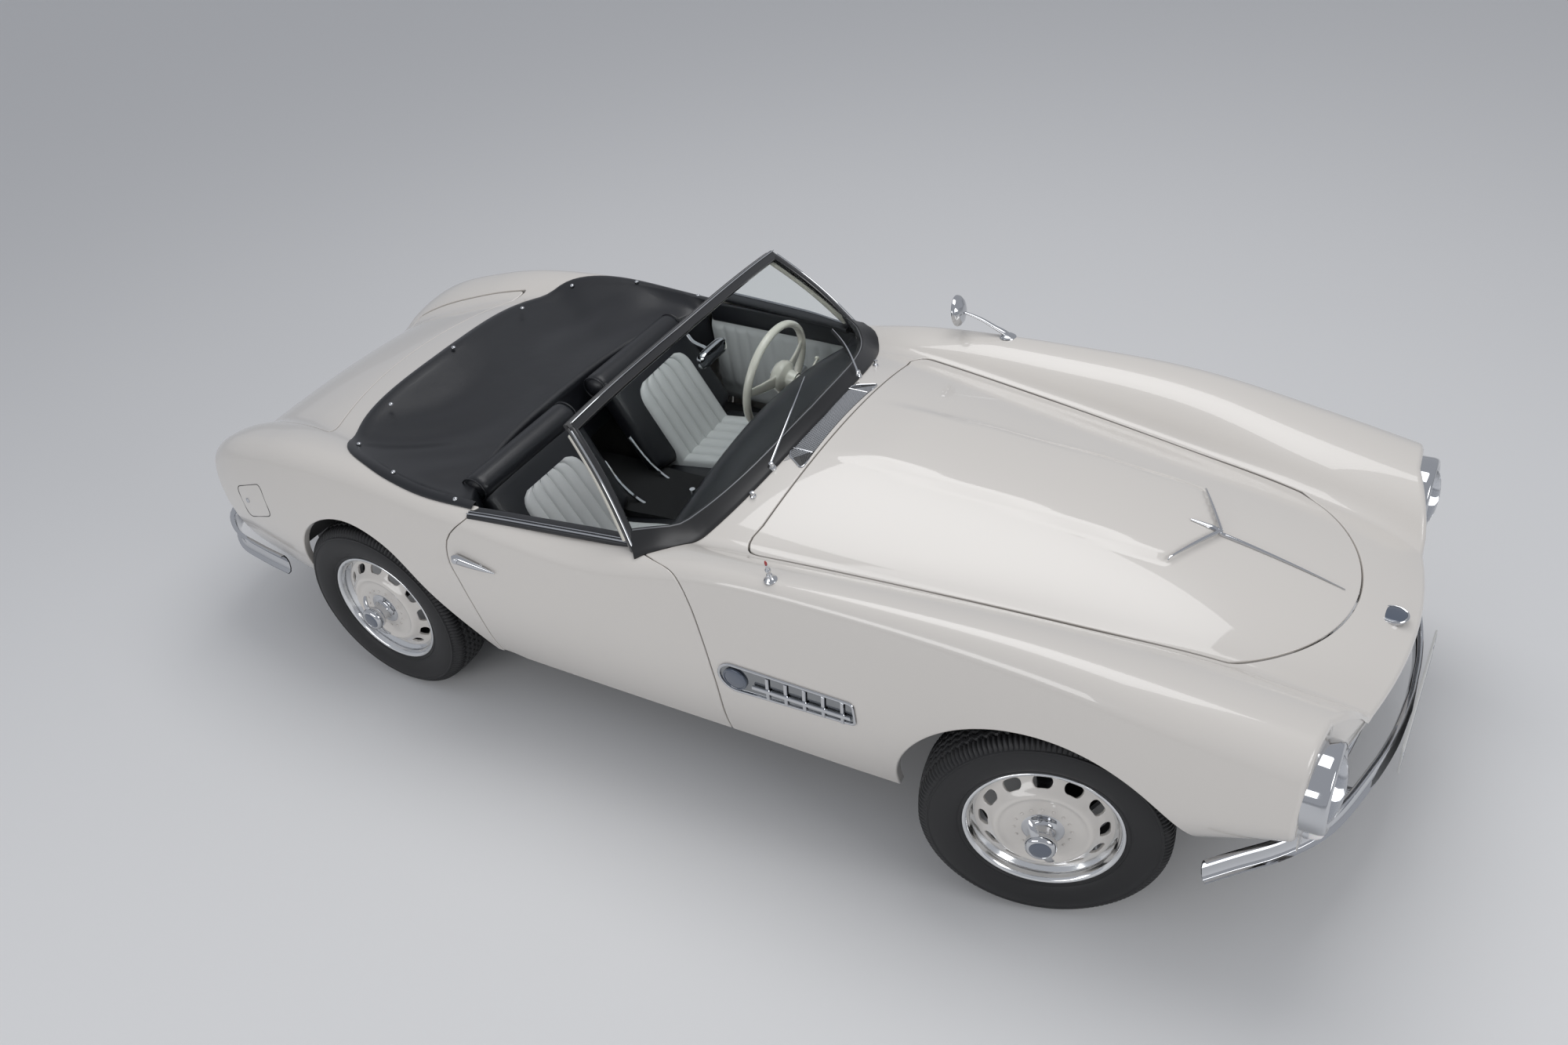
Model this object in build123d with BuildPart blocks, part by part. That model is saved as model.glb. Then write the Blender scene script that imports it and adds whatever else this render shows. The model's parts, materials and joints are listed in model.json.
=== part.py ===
# Open two-seat roadster: body, doors, lids, cockpit, chassis, steering and road wheels.
# Millimetres. +X forward, +Y left, +Z up. The origin is on the ground, under the middle
# of the overall length. Stations along the car are counted from the middle of the
# wheelbase and shifted by X_MID.
from build123d import *
from math import asin, cos, radians, sin
import os

os.makedirs("parts", exist_ok=True)

# ---------------------------------------------------------------- driving dimensions
OVERALL_LENGTH = 4320.0
FRONT_OVERHANG = 820.0          # front axle to the front plate, the foremost point
WHEELBASE = 2480.0
FRONT_TRACK = 1445.0
REAR_TRACK = 1425.0
X_MID = OVERALL_LENGTH / 2 - FRONT_OVERHANG - WHEELBASE / 2
AXLE_FRONT = X_MID + WHEELBASE / 2
AXLE_REAR = X_MID - WHEELBASE / 2

TYRE_RADIUS = 350.0
TYRE_WIDTH = 185.0
TYRE_BEAD_RADIUS = 208.0
RIM_DEPTH = 145.0
RIM_WALL = 9.0
DISC_THICKNESS = 8.0
DISC_OUTBOARD = 38.0            # disc face at the rim, from the wheel's middle plane
HUB_RADIUS = 62.0
HUB_BORE_RADIUS = 22.0
KNOCK_OFF_RADIUS = 42.0
KNOCK_OFF_REACH = 150.0         # from the wheel's middle plane to the cap's face
EAR_LENGTH = 85.0
EAR_WIDTH = 22.0
FIT_GAP = 0.3                   # seat clearance between pieces that touch in use
OVERLAP = 1.0                   # how far joined forms run into each other
RUNNING_GAP = 0.05              # radial clearance of a turning fit

SKIN = 12.0                     # body skin
OPEN_BELOW = 60.0               # the hollow reaches this far below the sills
SHUT_GAP = 6.0                  # round the doors and lids
REST_STEP = 0.4                 # lid above its rest flange
FLANGE_THICKNESS = 8.0
FLANGE_WIDTH = 26.0
STEER_AT_REST = 16.0            # front wheels turned to the left

# Body sections. x from the middle of the wheelbase; zc height on the centre line;
# yv, zv valley beside the lid; yf, zf top of the wing; yw, zw widest; ys, zs sill.
SECTION_COLUMNS = ("x", "zc", "yv", "zv", "yf", "zf", "yw", "zw", "ys", "zs")
SECTIONS = [
    (-2300, 600, 380, 585, 542, 609, 640, 500, 580, 360),
    (-2050, 760, 420, 742, 605, 801, 715, 582, 640, 340),
    (-1700, 893, 480, 859, 655, 911, 780, 602, 690, 310),
    (-1240, 980, 580, 913, 691, 948, 815, 609, 740, 290),
    (-750, 985, 600, 901, 700, 910, 817, 629, 745, 285),
    (-200, 985, 599, 882, 697, 879, 812, 640, 745, 280),
    (250, 990, 596, 878, 721, 928, 810, 645, 745, 280),
    (750, 955, 540, 841, 715, 943, 814, 638, 745, 280),
    (1240, 900, 478, 792, 693, 930, 817, 623, 745, 290),
    (1600, 822, 419, 753, 662, 877, 799, 605, 735, 420),
    (1900, 725, 386, 687, 637, 824, 766, 615, 700, 465),
    (2100, 640, 340, 603, 618, 790, 735, 590, 660, 470),
]
WING_TURN = radians(72)         # how far the wing's top arc turns before the side arc
# Ends of the body in plan, at three heights: nose and tail centre, lamp or tail corner.
END_COLUMNS = ("z", "nose", "nose_corner", "tail", "tail_corner")
ENDS = [
    (150, 1850, 1880, -2060, -1985),
    (690, 2028, 1915, -2190, -2120),
    (1150, 2028, 1915, -2190, -2120),
]
NOSE_CORNER_Y = 560.0
TAIL_CORNER_Y = 560.0
SIDE_SLANT = 30.0               # the corners run back by this much to the side
ENVELOPE_HALF_WIDTH = 900.0

# Lids in plan, half outlines in millimetres from the middle of the wheelbase.
BONNET_REAR = (262.0, 598.0)            # x, half width at the rear edge
BONNET_FRONT = (1620.0, 403.0)          # where the sides meet the nose arc
BONNET_NOSE_X = 1866.0
BONNET_BACK_X = 300.0              # the rear edge bows forward at the centre line
BOOT_FRONT = (-1500.0, 560.0)
BOOT_REAR = (-2055.0, 455.0)
BOOT_FRONT_X = -1600.0
BOOT_NOSE_X = -2120.0
LID_CORNER = 60.0
LID_TOOL_Z = 640.0                      # below both lids, above the ends' lower faces
COCKPIT_FRONT = (-60.0, 690.0)
COCKPIT_FRONT_X = 120.0
COCKPIT_REAR = (-1385.0, 560.0)
COCKPIT_REAR_X = -1405.0
COCKPIT_QUARTER = (-1120.0, 690.0)
# Doors from the side, (x, z), and the face that meets the trim.
DOOR_FRONT = [(-30, 1000), (75, 880), (185, 819), (217, 722), (235, 566), (211, 335)]
DOOR_REAR = [(-727, 335), (-723, 536), (-747, 651), (-771, 722), (-766, 795), (-690, 880), (-650, 1000)]
DOOR_INNER_Y = 700.0
DOOR_HINGE_X = 262.0
TRIM_THICKNESS = 15.0
TRIM_BOTTOM = 420.0
SILL_TOP = 400.0
# Front arch: x and z of the circle's centre, radius. Rear arch: (x, z) from front to rear.
ARCH_FRONT = (1245.0, 270.0, 445.0)
ARCH_REAR = [(-735, 200), (-778, 330), (-915, 530), (-1066, 695), (-1236, 747), (-1390, 716),
             (-1500, 640), (-1566, 530), (-1603, 400), (-1610, 200)]
ARCH_INNER_Y = 500.0
HOUSE_RADIUS = 402.0
HOUSE_WALL = 6.0
HOUSE_INNER_Y = 450.0
HOUSE_BOTTOM = 520.0
HOUSE_CLEARANCE, HOUSE_SIDE_CLEARANCE = 4.0, 20.0   # from the tub to the rear houses
# Grille openings in the nose face.
GRILLE_IN, GRILLE_OUT = 55.0, 500.0
GRILLE_BOTTOM, GRILLE_TOP = 495.0, 610.0
GRILLE_CORNER = 50.0
GRILLE_DEPTH = 30.0
GRILLE_X = 1800.0                       # the grilles' openings are cut forward from here
GRILLE_FRAME = 10.0
SLAT_PITCH, SLAT_THICKNESS = 26.0, 6.0
# Lamps.
LAMP_X, LAMP_Y, LAMP_Z = 1905.0, 640.0, 662.0
LAMP_BEZEL_RADIUS, LAMP_LENS_RADIUS = 118.0, 89.0
LAMP_DEPTH = 60.0
INDICATOR_X, INDICATOR_Z = 1893.0, 508.0
INDICATOR_RADIUS, INDICATOR_LENGTH = 24.0, 46.0
TAIL_LAMP_X, TAIL_LAMP_Y, TAIL_LAMP_Z = -2135.0, 610.0, 665.0
TAIL_LAMP_RADIUS = 34.0
# Floor, tunnel and walls.
FLOOR_Z, FLOOR_THICKNESS = 285.0, 15.0
FLOOR_FRONT, FLOOR_REAR = 420.0, -960.0
WALL = 12.0
TUNNEL_HALF_WIDTH, TUNNEL_TOP = 130.0, 500.0
FOOTWELL_HALF_WIDTH = 600.0
FIREWALL_TOP, BULKHEAD_TOP = 790.0, 640.0
BULKHEAD_HALF_WIDTH = 640.0
SHELF_REAR, SHELF_HALF_WIDTH = -2090.0, 430.0
RAIL_Y, RAIL_WIDTH, RAIL_BOTTOM, RAIL_HEIGHT = 400.0, 70.0, 200.0, 84.7
RAIL_FRONT, RAIL_REAR = 1760.0, -2020.0
CROSS_MEMBERS = (1700.0, 480.0, -700.0, -1900.0)
CROSS_SIZE = 60.0
# Seats.
SEAT_Y, SEAT_HALF_WIDTH = 382.0, 214.0
SEAT_FRONT, SEAT_REAR = -180.0, -700.0
SEAT_TOP_FRONT, SEAT_TOP_REAR = 520.0, 470.0
SEAT_BACK_TOP = (-880.0, 850.0)
SEAT_BACK_THICKNESS = 110.0
# Steering.
STEER_WHEEL_CENTRE = (-211.0, 370.0, 838.0)
STEER_WHEEL_RADIUS, STEER_RIM_RADIUS = 204.0, 13.0
STEER_TILT = 10.0
COLUMN_RADIUS, SHAFT_RADIUS = 26.0, 12.0
# Windscreen: plan arcs at the foot and at the header.
SCREEN_FOOT_Z, SCREEN_FOOT_SIDE, SCREEN_FOOT_X = 860.0, (-8.0, 712.0), 300.0
SCREEN_HEAD_Z, SCREEN_HEAD_SIDE, SCREEN_HEAD_X = 1222.0, (-300.0, 598.0), -262.0
FRAME_DEPTH, FRAME_BORDER, GLASS_DEPTH = 26.0, 24.0, 8.0
# Bumpers.
BLADE_BOTTOM, BLADE_HEIGHT, BLADE_THICKNESS = 372.0, 88.0, 22.0
BUMPER_FRONT = (2046.0, 1985.0, 480.0)      # centre x, corner x, corner y
BUMPER_FRONT_END = (1730.0, 822.0)
BUMPER_REAR = (-2260.0, -2205.0, 500.0)
BUMPER_REAR_END = (-1740.0, 802.0)
BRACKET_Y, BRACKET_WIDTH, BRACKET_HEIGHT = 320.0, 40.0, 30.0
IRON_LENGTH = 40.0                      # upright of a front bracket, standing on the rail
PLATE_WIDTH, PLATE_HEIGHT, PLATE_THICKNESS = 520.0, 110.0, 6.0
KINGPIN_RADIUS = 12.0
ARM_LOW_Z, ARM_HIGH_Z = 232.0, 468.0
ARM_THICKNESS, ARM_WIDTH = 20.0, 44.0
SPINDLE_RADIUS = HUB_BORE_RADIUS - RUNNING_GAP
TOWER_LENGTH, TOWER_WIDTH = 260.0, 50.0
DASH_REAR, DASH_FRONT, DASH_BOTTOM = 0.0, 130.0, 740.0
HANDLE_X, HANDLE_Z, HANDLE_THICKNESS = (-755.0, -588.0), (730.0, 752.0), 24.0
VENT_X, VENT_Z, VENT_THICKNESS = (262.0, 716.0), (535.0, 640.0), 4.0
SCUTTLE_X, SCUTTLE_HALF_WIDTH = (214.0, 250.0), 246.0
SPEAR_X, SPEAR_WIDTH, TRIM_RISE = (1422.0, 1828.0), 14.0, 8.0
CHEVRON_TIP, CHEVRON_END = 1479.0, (1383.0, 178.0)
BEZEL_REACH = 16.0
INDICATOR_Y = 650.0
BRACKET_FRONT_X, BRACKET_REAR_X = 1700.0, -2050.0
MIRROR_FOOT, MIRROR_HEAD = (536.0, 728.0, 915.0), (390.0, 722.0, 1003.0)
MIRROR_ARM_RADIUS, MIRROR_RADIUS, MIRROR_DEPTH = 8.0, 55.0, 24.0
AERIAL_FOOT, AERIAL_TOP, AERIAL_RADIUS = (446.0, -728.0, 900.0), 985.0, 9.0
WIPER_PIVOT, WIPER_STAND = (190.0, 285.0, 968.0), 22.0
WIPER_POST_RADIUS, WIPER_ARM_RADIUS = 12.0, 5.0
# Wiper blades: side, low end, high end.
WIPERS = (
    (-1, (126.0, -86.0, 1003.0), (112.0, 192.0, 1006.0)),
    (1, (88.0, 360.0, 985.0), (-12.0, 590.0, 1000.0)),
)
CABIN_MIRROR, CABIN_MIRROR_HALF_WIDTH = (-235.0, 1130.0), 80.0
CABIN_MIRROR_HALF_DEPTH, CABIN_MIRROR_HALF_HEIGHT = 10.0, 25.0
PLATE_CORNER = 8.0
PLATE_AHEAD = 8.0                       # the front plate's back stands before the blade
PLATE_PAD = (40.0, 50.0)                # width and height of the pad between them
# Plates: x of the back, z, facing.
PLATES = ((BUMPER_FRONT[0] + PLATE_AHEAD, 427.0, 1), (-2168.5, 545.0, -1))
PLATE_HOLE_PITCH, PLATE_HOLE_RADIUS = 460.0, 3.5
COVER_LINE = [(-1406, 963), (-1240, 955), (-905, 872)]
COVER_THICKNESS = 6.0
BOSS_RADIUS, BOSS_DEPTH = 42.0, 26.0
SPOKE_WIDTH, SPOKE_THICKNESS = 26.0, 10.0
SHAFT_LENGTH, COLUMN_LENGTH = 120.0, 900.0
# Levers and pedals: x, y, radius, top.
CONTROLS = (
    (-130.0, 40.0, 8.0, 640.0),
    (-330.0, -60.0, 10.0, 600.0),
    (360.0, 250.0, 22.0, 440.0),
    (360.0, 360.0, 22.0, 440.0),
    (360.0, 460.0, 22.0, 440.0),
)
REAR_TUBE_RADIUS, REAR_AXLE_END, DIFFERENTIAL_RADIUS = 38.0, 620.0, 110.0
KNUCKLE_RADIUS, SPINDLE_LENGTH = 21.0, 70.0
REAR_STUB_END = REAR_TRACK / 2 + SPINDLE_LENGTH
ENGINE_X, ENGINE_HALF_WIDTH, ENGINE_Z = (520.0, 1180.0), 270.0, (350.0, 700.0)
EXHAUST_X, EXHAUST_Y, EXHAUST_RADIUS = (-2200.0, -1700.0), 260.0, 24.0
TREAD_HALF_WIDTH, SIDEWALL_RADIUS, BEAD_Y = 60.0, 288.0, 70.0
DISC_RISE, RIDGE_RADIUS = 40.0, 130.0   # the disc rises outward from the rim to a ridge
HUB_SINK, HUB_INBOARD, NECK_RADIUS = 6.0, 26.0, 30.0
KNOCK_OFF_DEPTH, EAR_DEPTH = 30.0, 14.0
SLOT_COUNT, SLOT_RADIUS, SLOT_LENGTH, SLOT_WIDTH = 12, 166.0, 54.0, 26.0
TOOL_REACH = 1500.0                     # longer than any cut is deep


def columns(names, row):
    """One table row as named values."""
    return dict(zip(names, row))


def inset_section(row, depth):
    """The same section with its surface moved in by depth, and open below."""
    inner = dict(row)
    for name in ("zc", "zv", "zf"):
        inner[name] = row[name] - depth
    for name in ("yw", "ys"):
        inner[name] = row[name] - depth
    return inner


def section_sketch(row, depth):
    """A closed section: centre arc, then valley, wing, side and sill arcs on each side."""
    p = inset_section(row, depth)
    rise = p["zf"] - p["zw"]
    run = p["yw"] - p["yf"]
    turn_y, turn_z = sin(WING_TURN), 1 - cos(WING_TURN)
    rest_y, rest_z = 1 - sin(WING_TURN), cos(WING_TURN)
    top_radius = (run * rest_z - rise * rest_y) / (turn_y * rest_z - rest_y * turn_z)
    joint_y = p["yf"] + top_radius * turn_y
    joint_z = p["zf"] - top_radius * turn_z
    with BuildSketch(Plane.YZ.offset(X_MID + p["x"])) as sketch:
        with BuildLine():
            ThreePointArc((-p["yv"], p["zv"]), (0, p["zc"]), (p["yv"], p["zv"]))
            for side in (1, -1):
                valley = (side * p["yv"], p["zv"])
                wing = (side * p["yf"], p["zf"])
                joint = (side * joint_y, joint_z)
                widest = (side * p["yw"], p["zw"])
                sill = (side * p["ys"], p["zs"])
                TangentArc(wing, valley, tangent=(-side, 0))
                TangentArc(wing, joint, tangent=(side, 0))
                TangentArc(widest, joint, tangent=(0, 1))
                TangentArc(widest, sill, tangent=(0, -1))
            floor = p["zs"]
            if depth > 0:
                floor = p["zs"] - OPEN_BELOW
                for side in (1, -1):
                    Line((side * p["ys"], p["zs"]), (side * p["ys"], floor))
            Line((-p["ys"], floor), (p["ys"], floor))
        make_face()
    return sketch.sketch


def end_sketch(row, depth):
    """The plan outline of the body at one height: nose arc, corners, sides, tail arc."""
    p = columns(END_COLUMNS, row)
    nose = X_MID + p["nose"] - depth
    nose_corner = X_MID + p["nose_corner"] - depth
    tail = X_MID + p["tail"] + depth
    tail_corner = X_MID + p["tail_corner"] + depth
    width = ENVELOPE_HALF_WIDTH
    with BuildSketch(Plane.XY.offset(p["z"])) as sketch:
        with BuildLine():
            ThreePointArc((nose_corner, -NOSE_CORNER_Y), (nose, 0), (nose_corner, NOSE_CORNER_Y))
            ThreePointArc((tail_corner, -TAIL_CORNER_Y), (tail, 0), (tail_corner, TAIL_CORNER_Y))
            for side in (1, -1):
                Line((nose_corner, side * NOSE_CORNER_Y), (nose_corner - SIDE_SLANT, side * width))
                Line((nose_corner - SIDE_SLANT, side * width), (tail_corner + 2 * SIDE_SLANT, side * width))
                Line((tail_corner + 2 * SIDE_SLANT, side * width), (tail_corner, side * TAIL_CORNER_Y))
        make_face()
    return sketch.sketch


def body_solid(depth):
    """The body as a full solid, its surface moved in by depth."""
    rows = [columns(SECTION_COLUMNS, row) for row in SECTIONS]
    with BuildPart() as sweep_body:
        loft(sections=[section_sketch(row, depth) for row in rows])
    with BuildPart() as ends:
        loft(sections=[end_sketch(row, depth) for row in ENDS], ruled=True)
    with BuildPart() as whole:
        add(sweep_body.part)
        add(ends.part, mode=Mode.INTERSECT)
    return whole.part


def save(piece, name):
    """Label a finished piece and write it as one STEP file."""
    piece.label = name
    export_step(piece, f"parts/{name}.step")


def box(x, y, z):
    """A solid block from its (low, high) limits, x counted from the wheelbase's middle."""
    with BuildPart() as block:
        with Locations((X_MID + (x[0] + x[1]) / 2, (y[0] + y[1]) / 2, (z[0] + z[1]) / 2)):
            Box(abs(x[1] - x[0]), abs(y[1] - y[0]), abs(z[1] - z[0]))
    return block.part


def both_sides(piece):
    """A piece on the left, and its mirror image on the right."""
    with BuildPart() as pair:
        add(piece)
        mirror(about=Plane.XZ)
    return pair.part


def mirrored(piece):
    """The mirror image alone."""
    with BuildPart() as image:
        add(piece)
        mirror(about=Plane.XZ, mode=Mode.REPLACE)
    return image.part


def lid_plan(front, rear, nose_x, back_x, grow):
    """A lid's plan outline: front arc, straight sides and rear edge, grown by grow."""
    with BuildSketch(Plane.XY.offset(LID_TOOL_Z)) as sketch:
        with BuildLine():
            ThreePointArc(
                (X_MID + front[0], -front[1]), (X_MID + nose_x, 0), (X_MID + front[0], front[1])
            )
            for side in (1, -1):
                Line((X_MID + front[0], side * front[1]), (X_MID + rear[0], side * rear[1]))
            ThreePointArc(
                (X_MID + rear[0], rear[1]), (X_MID + back_x, 0), (X_MID + rear[0], -rear[1])
            )
        make_face()
        fillet(sketch.vertices(), LID_CORNER)
        if grow:
            offset(amount=grow)
    return sketch.sketch


def upright(sketch, height=TOOL_REACH):
    """A plan outline raised to a prism."""
    with BuildPart() as prism:
        extrude(sketch, amount=height)
    return prism.part


def bonnet_plan(grow):
    return upright(lid_plan(BONNET_FRONT, BONNET_REAR, BONNET_NOSE_X, BONNET_BACK_X, grow))


def boot_plan(grow):
    return upright(lid_plan(BOOT_FRONT, BOOT_REAR, BOOT_FRONT_X, BOOT_NOSE_X, grow))


def cockpit_plan(grow):
    with BuildSketch(Plane.XY.offset(SILL_TOP)) as sketch:
        with BuildLine():
            front = (X_MID + COCKPIT_FRONT[0], COCKPIT_FRONT[1])
            quarter = (X_MID + COCKPIT_QUARTER[0], COCKPIT_QUARTER[1])
            rear = (X_MID + COCKPIT_REAR[0], COCKPIT_REAR[1])
            ThreePointArc((front[0], -front[1]), (X_MID + COCKPIT_FRONT_X, 0), front)
            ThreePointArc((rear[0], -rear[1]), (X_MID + COCKPIT_REAR_X, 0), rear)
            for side in (1, -1):
                Line((front[0], side * front[1]), (quarter[0], side * quarter[1]))
                Line((quarter[0], side * quarter[1]), (rear[0], side * rear[1]))
        make_face()
        corners = sketch.vertices().filter_by(lambda v: v.X < X_MID + COCKPIT_QUARTER[0] + 1)
        fillet(corners, 2 * LID_CORNER)
        if grow:
            offset(amount=grow)
    return upright(sketch.sketch)


def door_prism(inner_y, grow):
    """The left door's outline from the side, as a slab outward from inner_y."""
    with BuildSketch(Plane.XZ.offset(-inner_y)) as sketch:
        with BuildLine():
            points = [(X_MID + x, z) for x, z in DOOR_FRONT + DOOR_REAR]
            Polyline(*points, close=True)
        make_face()
        if grow:
            offset(amount=grow)
    with BuildPart() as prism:
        extrude(sketch.sketch, amount=-(ENVELOPE_HALF_WIDTH - inner_y))
    return prism.part


def side_cylinder(x, z, radius, y_from, y_to):
    """A cylinder across the car between two y values."""
    with BuildPart() as tool:
        with BuildSketch(Plane.XZ.offset(-y_from)):
            with Locations((X_MID + x, z)):
                Circle(radius)
        extrude(amount=-(y_to - y_from))
    return tool.part


def arch_prism(points, side):
    """A wheel arch's outline from the side, as a slab outward through one side's skin."""
    line = [(X_MID + x, z) for x, z in points]
    with BuildPart() as prism:
        with BuildSketch(Plane.XZ.offset(-side * ARCH_INNER_Y)):
            with BuildLine():
                Spline(*line)
                Line(line[-1], line[0])
            make_face()
        extrude(amount=-side * (ENVELOPE_HALF_WIDTH - ARCH_INNER_Y))
    return prism.part


def lengthwise(sketch_plane_x, shapes, length):
    """Round shapes (y, z, radius) extruded forward from one station."""
    with BuildPart() as tool:
        with BuildSketch(Plane.YZ.offset(X_MID + sketch_plane_x)):
            for y, z, radius in shapes:
                with Locations((y, z)):
                    Circle(radius)
        extrude(amount=length)
    return tool.part


def slot_prism(grow, x_from, length):
    """Both grille openings, seen from the front, as prisms along the car."""
    with BuildPart() as tool:
        with BuildSketch(Plane.YZ.offset(X_MID + x_from)):
            with Locations(
                *[(side * (GRILLE_IN + GRILLE_OUT) / 2, (GRILLE_BOTTOM + GRILLE_TOP) / 2) for side in (1, -1)]
            ):
                RectangleRounded(
                    GRILLE_OUT - GRILLE_IN + 2 * grow,
                    GRILLE_TOP - GRILLE_BOTTOM + 2 * grow,
                    GRILLE_CORNER + grow,
                )
        extrude(amount=length)
    return tool.part


def difference(base, *tools):
    with BuildPart() as result:
        add(base)
        for tool in tools:
            add(tool, mode=Mode.SUBTRACT)
    return result.part


def common(base, *tools):
    with BuildPart() as result:
        add(base)
        for tool in tools:
            add(tool, mode=Mode.INTERSECT)
    return result.part


def union(*pieces):
    with BuildPart() as result:
        for piece in pieces:
            add(piece)
    return result.part


# ---------------------------------------------------------------- body surfaces
outer = body_solid(0)
outer_clear = body_solid(-FIT_GAP)
inner = body_solid(SKIN)
inner_clear = body_solid(SKIN + FIT_GAP)
rest = body_solid(SKIN + REST_STEP)
flange_top = body_solid(SKIN - 2)
flange_low = body_solid(SKIN + FLANGE_THICKNESS)
skin = difference(outer, inner)
rest_skin = difference(outer, rest)
flange_layer = difference(flange_top, flange_low)

# ---------------------------------------------------------------- lids, doors, shell
bonnet = common(skin, bonnet_plan(0))
boot_lid = common(skin, boot_plan(0))
door_left = common(outer, door_prism(DOOR_INNER_Y, 0))

front_arch = side_cylinder(*ARCH_FRONT, ARCH_INNER_Y, ENVELOPE_HALF_WIDTH)
arch_cuts = [front_arch, mirrored(front_arch)]
arch_cuts += [arch_prism(ARCH_REAR, side) for side in (1, -1)]
door_cut = door_prism(HOUSE_INNER_Y, SHUT_GAP)
lamp_wells = lengthwise(
    LAMP_X - LAMP_DEPTH - 2 * SKIN,
    [(side * LAMP_Y, LAMP_Z, LAMP_LENS_RADIUS + FIT_GAP) for side in (1, -1)],
    TOOL_REACH,
)
rest_rings = [
    common(flange_layer, difference(plan(FLANGE_WIDTH), plan(-FLANGE_WIDTH)))
    for plan in (bonnet_plan, boot_plan)
]
lid_openings = [
    common(rest_skin, bonnet_plan(SHUT_GAP)),
    common(rest_skin, boot_plan(SHUT_GAP)),
]
body_shell = difference(
    union(skin, *rest_rings),
    *lid_openings,
    cockpit_plan(0),
    door_cut,
    mirrored(door_cut),
    *arch_cuts,
    slot_prism(0, GRILLE_X, TOOL_REACH),
    lamp_wells,
)
save(body_shell, "body_shell")
save(bonnet, "bonnet")
save(boot_lid, "boot_lid")
save(door_left, "door_left")
save(mirrored(door_left), "door_right")

# ---------------------------------------------------------------- door trims and handles
trim_top = door_prism(DOOR_INNER_Y - TRIM_THICKNESS, -SHUT_GAP)
trim_left = common(
    inner_clear,
    trim_top,
    box((FLOOR_REAR, FLOOR_FRONT), (0, DOOR_INNER_Y), (TRIM_BOTTOM, TOOL_REACH)),
)
save(trim_left, "door_trim_left")
save(mirrored(trim_left), "door_trim_right")

# ---------------------------------------------------------------- floor, tunnel, walls
half_body = 2 * BULKHEAD_HALF_WIDTH
floor_top = FLOOR_Z + FLOOR_THICKNESS
firewall_x = (FLOOR_FRONT - WALL, FLOOR_FRONT)
footwell_side = (FOOTWELL_HALF_WIDTH - WALL, FOOTWELL_HALF_WIDTH)
sill_outer = DOOR_INNER_Y - FIT_GAP
tub = union(
    box((FLOOR_REAR, FLOOR_FRONT), (-half_body, half_body), (FLOOR_Z, floor_top)),
    box((FLOOR_REAR, FLOOR_FRONT), (-TUNNEL_HALF_WIDTH, TUNNEL_HALF_WIDTH), (FLOOR_Z, TUNNEL_TOP)),
    box(firewall_x, (-FOOTWELL_HALF_WIDTH, FOOTWELL_HALF_WIDTH), (FLOOR_Z, FIREWALL_TOP)),
    box(
        (FLOOR_REAR, FLOOR_REAR + WALL),
        (-BULKHEAD_HALF_WIDTH, BULKHEAD_HALF_WIDTH),
        (FLOOR_Z, BULKHEAD_TOP),
    ),
    box(
        (SHELF_REAR, FLOOR_REAR + WALL),
        (-SHELF_HALF_WIDTH, SHELF_HALF_WIDTH),
        (BULKHEAD_TOP - WALL, BULKHEAD_TOP),
    ),
    both_sides(box((FLOOR_REAR, FLOOR_FRONT), (FOOTWELL_HALF_WIDTH, sill_outer), (FLOOR_Z, SILL_TOP))),
    both_sides(box((DOOR_HINGE_X + SHUT_GAP, FLOOR_FRONT), footwell_side, (FLOOR_Z, FIREWALL_TOP))),
)
wheel_room = both_sides(
    side_cylinder(
        WHEELBASE / -2,
        TYRE_RADIUS,
        HOUSE_RADIUS + HOUSE_WALL + HOUSE_CLEARANCE,
        HOUSE_INNER_Y - HOUSE_SIDE_CLEARANCE,
        ENVELOPE_HALF_WIDTH,
    )
)
tub = difference(common(tub, inner_clear), wheel_room)
save(tub, "floor_tub")

# ---------------------------------------------------------------- wheel houses
def wheel_house(axle_x):
    """Half a drum over one left wheel, with its inner wall, up to the skin."""
    outer_radius, inner_y = HOUSE_RADIUS + HOUSE_WALL, HOUSE_INNER_Y + HOUSE_WALL
    outside = side_cylinder(axle_x, TYRE_RADIUS, outer_radius, HOUSE_INNER_Y, ENVELOPE_HALF_WIDTH)
    inside = side_cylinder(axle_x, TYRE_RADIUS, HOUSE_RADIUS, inner_y, ENVELOPE_HALF_WIDTH)
    above = box(
        (axle_x - TOOL_REACH, axle_x + TOOL_REACH),
        (0, ENVELOPE_HALF_WIDTH),
        (HOUSE_BOTTOM, TOOL_REACH),
    )
    return common(difference(outside, inside), above, inner_clear)


houses_left = union(wheel_house(WHEELBASE / 2), wheel_house(-WHEELBASE / 2))
save(both_sides(houses_left), "wheel_houses")

# ---------------------------------------------------------------- chassis
rail_top = RAIL_BOTTOM + RAIL_HEIGHT
rail = box(
    (RAIL_REAR, RAIL_FRONT),
    (RAIL_Y - RAIL_WIDTH / 2, RAIL_Y + RAIL_WIDTH / 2),
    (RAIL_BOTTOM, rail_top),
)
members = [
    box((x - CROSS_SIZE / 2, x + CROSS_SIZE / 2), (-RAIL_Y, RAIL_Y), (rail_top - CROSS_SIZE, rail_top))
    for x in CROSS_MEMBERS
]
save(union(both_sides(rail), *members), "chassis_frame")

seat_z = rail_top + FIT_GAP
arm_end = FRONT_TRACK / 2 + ARM_WIDTH / 2
tower_y = RAIL_Y + RAIL_WIDTH / 2 + SHUT_GAP
half_arm = ARM_WIDTH / 2
axle_x = WHEELBASE / 2


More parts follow.
